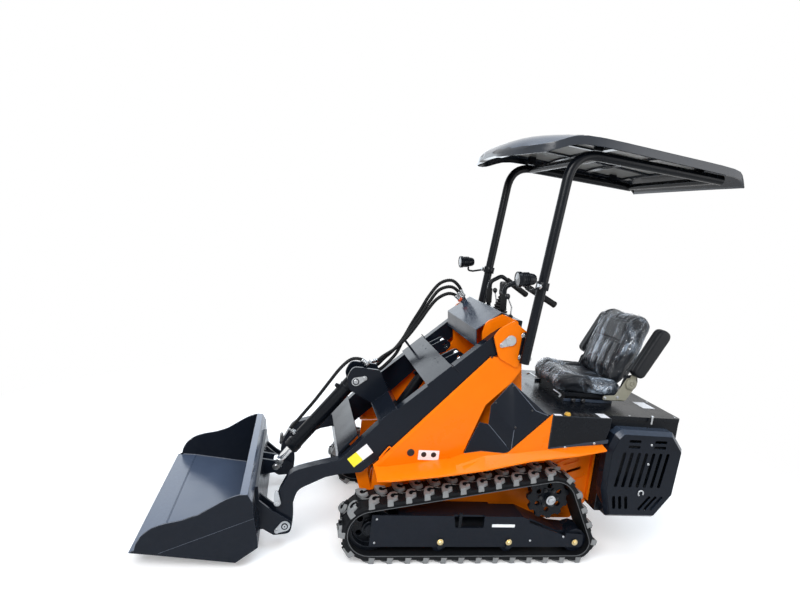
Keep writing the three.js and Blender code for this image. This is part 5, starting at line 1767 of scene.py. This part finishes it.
    def recliner(self) -> None:
        """Olive side arms with the round recliner joint, and the back's own plates."""
        hx, hz = self.hinge
        arm = rounded(side_view((hx + 150, 832), (hx + 150, 856), (hx + 78, 862), (hx + 44, hz - 8),
            (hx + 22, hz + 34), (hx - 30, hz + 44), (hx - 48, hz + 6), (hx - 20, hz - 44), (hx + 8, 836)),
            0.016, 4)
        lower = cut_plate(arm, 0.2486, 0.2536, round_by=0.0012)
        both_sides(lower, "recliner_arm", OLIVE)
        disc = turned(spot(hx - 6, 253.8, hz + 4), LEFTWARD, [(0.031, 0), (0.032, 0.002), (0.032, 0.008),
            (0.029, 0.010), (0.016, 0.010), (0.014, 0.007), (0.009, 0.007), (0.008, 0.011), (0.005, 0.012)],
            36)
        both_sides(disc, "recliner_joint", OLIVE)
        upper = cut_plate(teardrop(side_view((hx - 10, hz + 20))[0], 0.020,
            side_view((hx - 34, hz + 118))[0], 0.014), 0.2542, 0.2580, round_by=0.001)
        both_sides(upper, "recliner_plate", OLIVE, (Body.SEAT_BACK, Body.SEAT_BACK))
        side_fasteners("recliner_bolt", Head.HEX, 0.006, [(hx + 138, 253.6, 845), (hx + 62, 253.6, 852)],
            ZINC)

    def levers(self) -> None:
        """The slide and height levers under the cushion's front corner."""
        corners = ((-470, 120, 836), (-440, 120, 838), (-440, 214, 838), (-424, 226, 826))
        rods = [pipe(bent_path([spot(x, s * y, z) for x, y, z in corners], 0.010, 4), 0.005,
            4) for s in (1, -1)]
        drawn("seat_slide_rod", rods, ZINC)
        knobs = [turned(spot(-520 - 60 * k, 203, 808), LEFTWARD,
            [(0.010, 0), (0.013, 0.004), (0.013, 0.016), (0.009, 0.020)], 20) for k in range(2)]
        drawn("seat_knob", knobs, PLASTIC)
        rails = [block(spot(-770, y, 795.6), spot(-470, y + 14, 812), 0.002) for y in (186, -200)]
        drawn("seat_rail", rails, GREY_ENAMEL_AND_SHEEN)
        pleats = [block(spot(-752 - grow, -166 - grow, 800 + 9 * k),
            spot(-498 + grow, 166 + grow, 808 + 9 * k), 0.003) for k, grow in enumerate((0, 6, 0))]
        drawn("seat_bellows", pleats, FOAM)


# ------------------------------------------------------------------ hoses


def curved_route(points: Sequence[Point], steps: int = 8) -> list[Vector]:
    """A smooth route through given points.

    Args:
        points: The points, in order.
        steps: Steps between two points.

    Returns:
        Points of the route, close together.
    """
    ends = [Vector(point) for point in points]
    rows = [ends[0] * 2 - ends[1], *ends, ends[-1] * 2 - ends[-2]]
    route = []
    for a, b, c, d in zip(rows, rows[1:], rows[2:], rows[3:]):
        for step in range(steps):
            t = step / steps
            route.append((b * 2 + (c - a) * t + (a * 2 - b * 5 + c * 4 - d) * t ** 2
                + (b * 3 - a - c * 3 + d) * t ** 3) * 0.5)
    return [*route, ends[-1]]


def coil_round(route: Sequence[Vector], radius: float, pitch: float, steps: int = 8) -> list[Point]:
    """A helix round a route.

    Args:
        route: The route, as close points.
        radius: Radius of the helix.
        pitch: Distance between its turns.
        steps: Points in each turn.

    Returns:
        Points of the helix.
    """
    side = (route[1] - route[0]).orthogonal().normalized()
    spacing = pitch / steps
    angle = 0.0
    left = 0.0
    points = []
    for a, b in zip(route, route[1:]):
        ahead = (b - a).normalized()
        side = (side - ahead * side.dot(ahead)).normalized()
        across = ahead.cross(side)
        while left < (b - a).length:
            points.append(tuple(a + ahead * left + (side * math.cos(angle) + across * math.sin(angle))
                * radius))
            angle += math.tau / steps
            left += spacing
        left -= (b - a).length
    return points


@dataclass
class Hoses:
    """Hydraulic hoses in their spiral guards, with crimped ends."""

    tube: float = 9.8
    bead: float = 1.9
    pitch: float = 12.0
    clip: Point = (388, -268, 985)
    boom_routes: tuple[tuple[Point, ...], ...] = (((49, -268, 1287), (82, -268, 1340), (135, -269, 1372),
        (205, -270, 1345), (262, -272, 1262), (300, -276, 1180), (345, -284, 1085), (388, -290, 985),
        (440, -272, 915), (505, -235, 862), (548, -170, 842), (588, -122, 838)), ((63, -250, 1277),
        (98, -250, 1318), (146, -250, 1334), (210, -252, 1306), (258, -254, 1232), (296, -258, 1158),
        (342, -264, 1070), (388, -268, 986.4), (428, -250, 898), (490, -210, 836), (540, -158, 812),
        (582, -122, 808)), ((76, -232, 1264), (112, -232, 1290), (160, -232, 1292), (218, -233, 1256),
        (262, -235, 1194), (302, -238, 1122), (346, -242, 1046), (388, -246, 984.5), (445, -238, 925),
        (512, -195, 890), (552, -140, 876), (594, -122, 868)))
    tilt_route: tuple[Point, ...] = ((640, 20, 892), (676, 22, 915), (730, 26, 912), (785, 26, 858),
        (845, 24, 765), (905, 20, 668), (958, 14, 590), (1005, 8, 520), (1024, 2, 486), (1002.1, 0, 466.4))

    def hose(self, name: str, points: Sequence[Point], scale: float) -> Item:
        """A hose with its guard.

        Args:
            name: Name of the CAD node that it replaces.
            points: Its route's points.
            scale: Its thickness, as a share of the largest.

        Returns:
            The hose.
        """
        route = curved_route([spot(*point) for point in points])
        parts = [pipe([tuple(point) for point in route], self.tube * scale * MM, 3),
            pipe(coil_round(route, (self.tube - 0.2) * scale * MM, self.pitch * MM), self.bead * MM, 1)]
        item = named(joined(name, parts), f"{name}_guarded")
        dress(item, FOAM)
        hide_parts(name)
        return item

    def end_fitting(self, points: Sequence[Point], capped: bool) -> Item:
        """A crimped ferrule with its nut, round the first stretch of a hose.

        Args:
            points: The hose's route, from this end.
            capped: Whether it carries a coloured collar.

        Returns:
            The fitting.
        """
        at = spot(*points[0])
        ahead = Vector(spot(*points[1])) - Vector(at)
        ferrule = turned(at, tuple(ahead), [(0.0102, 0.006), (0.0122, 0.008), (0.0122, 0.014),
            (0.0112, 0.016), (0.0122, 0.018), (0.0122, 0.024), (0.0112, 0.026), (0.0122, 0.028),
            (0.0122, 0.036), (0.0104, 0.039)], 20)
        nut = turned(at, tuple(ahead), [(0.0148, -0.008), (0.0156, -0.006), (0.0156, 0.004),
            (0.0146, 0.006)], 6, 20)
        dress(ferrule, ZINC)
        dress(nut, RED_CAP if capped else ZINC)
        return joined("fitting", [ferrule, nut])

    def build(self) -> None:
        """Makes the three boom hoses, the tilt hose and their ends."""
        start, end = spot(*self.boom_routes[1][0]), spot(*self.clip)
        near, far = [], []
        for number, points in enumerate(self.boom_routes, 1):
            hose = self.hose(f"boom_hose_{number}", points, 1.0)
            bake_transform(hose)
            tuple(start)
            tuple(end)
            near.append(self.end_fitting(points, number == 3))
            far.append(self.end_fitting(points[::-1], number == 1))
        hose = self.hose("tilt_hose", self.tilt_route, 0.9)
        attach(hose, Body.TILT_BARREL.value)
        ends = [self.end_fitting(points, False) for points in (self.tilt_route, self.tilt_route[::-1])]
        for name, parts, body in (("tower", near, Body.CHASSIS), ("bracket", far, Body.BOOM),
                ("tilt", ends, Body.TILT_BARREL)):
            mounted(joined("fittings", parts), f"hose_fittings_{name}", ZINC.slot, body)


# ------------------------------------------------------------------ trim


def seated(node: str, near: Point) -> tuple[Point, Point]:
    """The place and direction on a frame node's face that lie nearest to a point."""
    mesh = frame["nodes"][node].data
    faces = BVHTree.FromPolygons([vertex.co for vertex in mesh.vertices],
        [face.vertices for face in mesh.polygons])
    at, normal, _, _ = faces.find_nearest(Vector(near))
    return tuple(at), tuple(normal)


def label(corners: Sequence[Point], outward: Point, thickness: float = 0.0006) -> Item:
    """A thin four-sided label lying on a face.

    Args:
        corners: Its corners, in order round it.
        outward: The face's direction.
        thickness: Its thickness.

    Returns:
        The label.
    """
    bpy.ops.mesh.primitive_circle_add(vertices=len(corners), radius=1, fill_type="NGON")
    item = apply_place(bpy.context.active_object)
    out = Vector(outward).normalized()
    for vertex, corner in zip(item.data.vertices, corners):
        vertex.co = Vector(corner) + out * (0.0002 + thickness)
    apply_modifier(item, "SOLIDIFY", thickness=thickness, offset=0.0)
    tidy_mesh(item)
    return item


@dataclass
class PinRetainers:
    """Teardrop plates that keep the pins in, each with its bolt."""

    # pin, bolt, radius at the pin, face's y, both sides, body
    rows: tuple[tuple[Flat, Flat, float, float, bool, Body], ...] = (
        ((-30, 1155), (14, 1128), 27, 376.0, True, Body.CHASSIS),
        ((697, 800), (650, 822), 24, 69.2, False, Body.BOOM),
        ((1016, 126), (1052, 100), 27, 368.2, True, Body.BUCKET),
        ((1084, 288), (1060, 320), 20, 49.2, False, Body.BUCKET))

    def build(self) -> None:
        """Makes every retainer."""
        for number, (pin, bolt, radius, face, mirrored, body) in enumerate(self.rows):
            ends = side_view(pin, bolt)
            plate = cut_plate(teardrop(ends[0], radius * MM, ends[1], 12 * MM), face * MM, (face + 4) * MM,
                round_by=0.0008)
            head = turned(spot(pin[0], face + 3.6, pin[1]), LEFTWARD, [(0.013, 0), (0.013, 0.003),
                (0.011, 0.0045), (0.004, 0.0045), (0.003, 0.003)], 24)
            screw = head_model(Head.HEX, 0.0085)
            screw.data.transform(Matrix.Translation(spot(bolt[0], face + 3.9, bolt[1])) @ aim(LEFTWARD))
            item = joined("retainer", [plate, head, screw])
            if mirrored:
                both_sides(item, f"pin_retainer_{number}", ZINC, (body, body))
            else:
                placed(item, f"pin_retainer_{number}", ZINC, body)


@dataclass
class Cylinders:
    """Glands, ports and end caps of the hydraulic cylinders."""

    # base, eye, y, barrel radius, barrel length
    lift: tuple[Flat, Flat, float, float, float] = ((545, 330), (165, 1000), 150, 32, 590)
    tilt: tuple[Flat, Flat, float, float, float] = ((697, 800), (1084, 288), 0, 40, 520)

    def dressing(self, base: Flat, eye: Flat, y: float, radius: float, length: float) -> Item:
        """Gland, weld ring and two ports of one cylinder."""
        start, end = Vector(spot(base[0], y, base[1])), Vector(spot(eye[0], y, eye[1]))
        ahead = (end - start).normalized()
        up = (Vector(UP) - ahead * ahead.dot(Vector(UP))).normalized()
        r = radius * MM
        gland = turned(tuple(start + ahead * (length * MM - 0.036)), tuple(ahead), [(r + 0.0003, 0),
            (r + 0.0035, 0.002), (r + 0.0035, 0.030), (r + 0.001, 0.034), (r * 0.78, 0.038),
            (r * 0.74, 0.040)], 32)
        ring = turned(tuple(start + ahead * 0.062), tuple(ahead), [(r + 0.0002, 0), (r + 0.003, 0.003),
            (r + 0.003, 0.006), (r + 0.0002, 0.009)], 32)
        ports = []
        for distance in (0.095, length * MM - 0.060):
            foot = start + ahead * distance + up * (r - 0.002)
            ports.append(turned(tuple(foot), tuple(up), [(0.013, 0), (0.013, 0.010), (0.0105, 0.011),
                (0.0105, 0.018), (0.008, 0.020)], 6, 20))
        return joined("cylinder", [gland, ring, *ports])

    def build(self) -> None:
        """Dresses both lift cylinders and the tilt cylinder."""
        both_sides(self.dressing(*self.lift), "lift_cylinder_gland", BLACK,
            (Body.LIFT_BARREL_LEFT, Body.LIFT_BARREL_RIGHT))
        placed(self.dressing(*self.tilt), "tilt_cylinder_gland", BLACK, Body.TILT_BARREL)


@dataclass
class SmallParts:
    """Screws, labels, switches, latches and seams."""

    beam_label: tuple[Flat, ...] = ((736, 480), (646, 565), (607, 520), (698, 438))
    beam_mark: tuple[Flat, ...] = ((736, 480), (695, 519), (656, 478), (698, 438))
    beam_y: float = 350.0
    plate_y: float = 363.5
    deck_z: float = 795.0
    cheek_rim: tuple[Flat, ...] = ((1204, 370), (1237, 369), (1292, 346), (1352, 307), (1412, 267),
        (1481, 241), (1554, 223), (1609, 200), (1650, 163), (1670, 123), (1676, 92))

    def build(self) -> None:
        """Makes all the small parts."""
        self.labels()
        self.screws()
        self.switches()
        self.latches()
        self.seams()

    def deck_label(self, x0: float, x1: float, y0: float, y1: float, skew: float = 0.0) -> Item:
        """A label on the hood's or the console's top."""
        z = self.deck_z
        return label([spot(x0, y0, z), spot(x1 + skew, y0, z), spot(x1, y1, z), spot(x0 - skew, y1, z)], UP)

    def labels(self) -> None:
        """Blank labels on the beam, the side plate, the console and the hood."""
        beam = [spot(x, self.beam_y, z) for x, z in self.beam_label]
        mark = [spot(x, self.beam_y + 0.5, z) for x, z in self.beam_mark]
        placed(label(beam, LEFTWARD), "beam_label", WHITE_LABEL, Body.BOOM)
        placed(label(mark, LEFTWARD), "beam_label_mark", YELLOW_LABEL, Body.BOOM)
        x, z = 321, 521
        plate = cut_plate(rounded(side_view((x - 55, z - 26), (x - 55, z + 26), (x + 55, z + 26),
            (x + 55, z - 26)), 0.004, 3), (self.plate_y + 0.1) * MM, (self.plate_y + 0.9) * MM,
            round_by=0.0002)
        placed(plate, "side_plate_label", WHITE_LABEL)
        marks = [cut_plate(circle(*side_view((x + shift, z + 3))[0], 0.014, 24), (self.plate_y + 0.8) * MM,
            (self.plate_y + 1.2) * MM, round_by=0.0001) for shift in (-26, 26)]
        drawn("side_plate_label_mark", marks, PLASTIC)
        tops = [self.deck_label(-300, -342, 422, 446), self.deck_label(-560, -612, 384, 446),
            self.deck_label(-940, -1016, 139, 248)]
        drawn("deck_label", tops, WHITE_LABEL)

    def screws(self) -> None:
        """Screws of the panels, each seated on the face that it holds."""
        side_fasteners("console_screw", Head.PAN, 0.0075, [(-379, 452.2, 627), (-540, 452.2, 655)], ZINC)
        side_fasteners("side_plate_screw", Head.PAN, 0.006, [(53, 363.6, 1060)], PLASTIC)
        for side in Side:
            lid = [seated(f"side_box_{side.word}", spot(x, side.value * y, z)) for x, y, z in ((0, 372, 822),
                (-82, 372, 915), (-170, 446, 815), (-92, 446, 722))]
            fasteners(f"side_box_screw_{side.word}", Head.PAN, 0.0055, lid, PLASTIC)
        hood = [(spot(x, y, self.deck_z), UP) for x, y in ((-1045, -380), (-1045, -130), (-1045, 130),
            (-1045, 380), (-900, 390), (-760, 390), (-900, -390), (-760, -390))]
        fasteners("hood_screw", Head.PAN, 0.0065, hood, ZINC)
        pin = turned(spot(-875, 423, self.deck_z - 30), UP, [(0.006, 0), (0.006, 0.036), (0.0085, 0.037),
            (0.0085, 0.044), (0.005, 0.047)], 16)
        placed(pin, "hood_stay_pin", ZINC)

    def switches(self) -> None:
        """Push button and rocker switches on the left console."""
        z = self.deck_z
        button = turned(spot(-378, 427, z), UP, [(0.017, 0), (0.017, 0.004), (0.014, 0.006), (0.014, 0.010),
            (0.011, 0.013), (0.004, 0.0135)], 28)
        placed(button, "console_button", GOLD_BUTTON)
        rockers = []
        for x in (-430, -462, -494, -526):
            rockers.append(block(spot(x - 13, 401, z), spot(x + 13, 439, z + 3), 0.001))
            rockers.append(block(spot(x - 9, 405, z + 2), spot(x + 9, 435, z + 7), 0.003))
        drawn("console_switch", rockers, PLASTIC)
        lip = cut_plate(side_view((-292, 602), (-292, 622), (-619, 679), (-619, 659)), 0.4501, 0.4521,
            round_by=0.0006)
        both_sides(lip, "console_lip", GREY_ENAMEL_AND_SHEEN)

    def latches(self) -> None:
        """Latch levers of the bucket carrier."""
        bar = side_view((1062, 250), (1070, 306))
        lever = cut_plate(teardrop(bar[0], 0.017, bar[1], 0.009), 0.3682, 0.3752, round_by=0.001)
        knob = turned(spot(1062, 375, 250), LEFTWARD,
            [(0.012, 0), (0.012, 0.007), (0.009, 0.009), (0.003, 0.009)], 6, 20)
        both_sides(joined("latch", [lever, knob]), "carrier_latch", ZINC, BUCKET_PAIR)

    def seams(self) -> None:
        """Weld beads of the boom and of the bucket's wear plate; the bucket's weld and rim strokes are
        lighter, painted highlights, and its cutting edge has the painted sky reflection.
        """
        bead = pipe([spot(260, 350, 1006), spot(207, 350, 962)], 0.003, 3)
        both_sides(bead, "beam_weld", CHARCOAL, (Body.BOOM, Body.BOOM))
        # a lighter bead along the cheek's weld, a painted highlight
        wear = pipe([spot(1572, 523.6, 79), spot(1163, 523.6, 254)], 0.0016, 3)
        both_sides(wear, "cheek_weld", CHARCOAL_EDGE_HIGHLIGHT, BUCKET_PAIR)
        # lighter pipes along the cheeks' top edges and the floor's edges, painted highlights
        rims = [pipe([spot(x, y, z) for x, z in self.cheek_rim], 0.0016, 3, curved=True, steps=4)
            for y in (523.2, -523.2)]
        rims += [pipe([spot(x, y, z) for x, z in ((1668, 86), (1590, 83), (1237, 43), (1150, 116))], 0.003,
            3) for y in (516, -516)]
        drawn("cheek_rim", rims, CHARCOAL_EDGE_HIGHLIGHT, Body.BUCKET)
        # the cutting edge and its seam take the lighter bucket colour, a painted sky reflection
        edge = block(spot(1594, -512, 81.1), spot(1690, 512, 84.5), 0.001)
        seam = pipe([spot(1591, -514, 81.5), spot(1591, 514, 81.5)], 0.003, 3)
        drawn("cutting_edge", [edge, seam], BUCKET_SHEEN_PAINT, Body.BUCKET)
        ring = turned(spot(417, 363.6, 533), LEFTWARD, [(0.0155, 0), (0.0185, 0.0005), (0.0195, 0.003),
            (0.0165, 0.005), (0.0155, 0.004)], 28)
        both_sides(ring, "side_plate_grommet", PLASTIC)


# ------------------------------------------------------------------ studio


@dataclass
class Studio:
    """Camera, lamps and floor."""

    eye: Point = (0.781, 2.964, 1.673)
    right: Point = (-0.97798, 0.17558, 0.11283)
    down: Point = (-0.08596, 0.15374, -0.98436)
    ahead: Point = (-0.19018, -0.97239, -0.13527)
    sensor: float = 36.0
    lens: float = 24.72
    floor_reach: float = 60.0
    lit_reach: Flat = (1.6, 3.4)

    def build(self) -> None:
        """Sets up the whole studio."""
        self.camera()
        self.floor()
        self.world()
        self.lamps()

    def camera(self) -> None:
        """The camera, at standing height on the machine's left."""
        data = bpy.data.cameras.new("Camera")
        data.sensor_width = self.sensor
        data.lens = self.lens
        item = linked("Camera", data)
        columns = (Vector(self.right), -Vector(self.down), -Vector(self.ahead), Vector(self.eye))
        item.matrix_world = Matrix([[*(c[row] for c in columns)] for row in range(3)] + [[0, 0, 0, 1]])
        bpy.context.scene.camera = item

    def seen_directly(self, tree: Tree) -> Socket:
        """A mask of the rays that see the white background: camera, mirror and glass rays."""
        path = add(tree, "LightPath")
        mirror = math_node(tree, "MAXIMUM", path.outputs["Is Camera Ray"], path.outputs["Is Glossy Ray"])
        return math_node(tree, "MAXIMUM", mirror, path.outputs["Is Transmission Ray"])

    def floor(self) -> None:
        """A pale floor that keeps the machine's shadow and runs out to white."""
        bpy.ops.mesh.primitive_plane_add(size=self.floor_reach, location=(0, 0, -0.001))
        item = apply_place(named(bpy.context.active_object, "studio_floor"))
        material = bpy.data.materials.new("Studio floor")
        material.use_nodes = True
        tree = material.node_tree
        shader = feed(tree, tree.nodes["Principled BSDF"], Base_Color=(0.84, 0.84, 0.84, 1), Roughness=0.9,
            Specular_IOR_Level=0.1)
        span = add(tree, "VectorMath")
        span.operation = "LENGTH"
        put(tree, span.inputs[0], add(tree, "TexCoord").outputs["Object"])
        far = ramp(tree, span.outputs["Value"], *self.lit_reach)
        white = add(tree, "Emission", Strength=self.seen_directly(tree))
        path = add(tree, "LightPath").outputs["Is Camera Ray"]
        lift = add(tree, "Emission", Strength=math_node(tree, "MULTIPLY", path, 0.3))
        near = add(tree, "AddShader")
        put(tree, near.inputs[0], shader.outputs[0])
        put(tree, near.inputs[1], lift.outputs[0])
        self.blended(tree, far, near, white, tree.nodes["Material Output"])
        item.data.materials.append(material)

    def world(self) -> None:
        """Even pale light all round, white where it is seen."""
        world = bpy.data.worlds.new("Studio")
        bpy.context.scene.world = world
        world.use_nodes = True
        tree = world.node_tree
        height = add(tree, "SeparateXYZ", Vector=add(tree, "TexCoord").outputs["Generated"])
        sky = ramp(tree, height.outputs["Z"], -0.1, 0.7)
        light = feed(tree, tree.nodes["Background"], Strength=0.6,
            Color=mixed(tree, sky, (0.34, 0.35, 0.37, 1), (0.90, 0.94, 1.0, 1)))
        white = add(tree, "Background", Color=(1, 1, 1, 1))
        self.blended(tree, self.seen_directly(tree), light, white, tree.nodes["World Output"])

    def blended(self, tree: Tree, mask: Socket, first: Node, second: Node, output: Node) -> None:
        """Mixes two shaders by a mask and gives the result to the output."""
        blend = add(tree, "MixShader", Fac=mask)
        put(tree, blend.inputs[1], first.outputs[0])
        put(tree, blend.inputs[2], second.outputs[0])
        feed(tree, output, Surface=blend.outputs[0])

    def lamps(self) -> None:
        """A broad key lamp above the camera, a top lamp and a low fill."""
        rows = (("key", (2.4, 3.6, 4.0), (0.1, 0.0, 0.6), 2.6, 210.0),
            ("top", (-0.6, 0.4, 5.2), (-0.2, 0.0, 0.5), 3.4, 170.0),
            ("fill", (-3.4, 2.8, 1.8), (-0.4, 0.0, 0.9), 2.4, 40.0),
            ("rim", (-0.3, -4.6, 1.9), (-0.3, 0.0, 0.9), 7.0, 85.0))
        for name, at, target, size, power in rows:
            data = bpy.data.lights.new(name, "AREA")
            data.size = size
            data.energy = power
            if name in ("top", "rim"):
                data.color = (0.80, 0.90, 1.0)
            if name == "rim":
                data.shape = "RECTANGLE"
                data.size_y = 2.6
            item = linked(name, data)
            item.location = at
            item.visible_camera = False
            item.rotation_euler = (Vector(target) - Vector(at)).to_track_quat("-Z", "Y").to_euler()


def main() -> None:
    """Builds the studio and the whole machine."""
    bpy.context.scene.view_settings.view_transform = "Standard"
    Studio().build()
    Hoses().build()
    RigidShells().build()
    Tracks().build()
    SideGuards().build()
    Canopy().build()
    WorkLamps().build()
    Controls().build()
    Seat().build()
    PinRetainers().build()
    Cylinders().build()
    SmallParts().build()


if __name__ == "__main__":
    main()
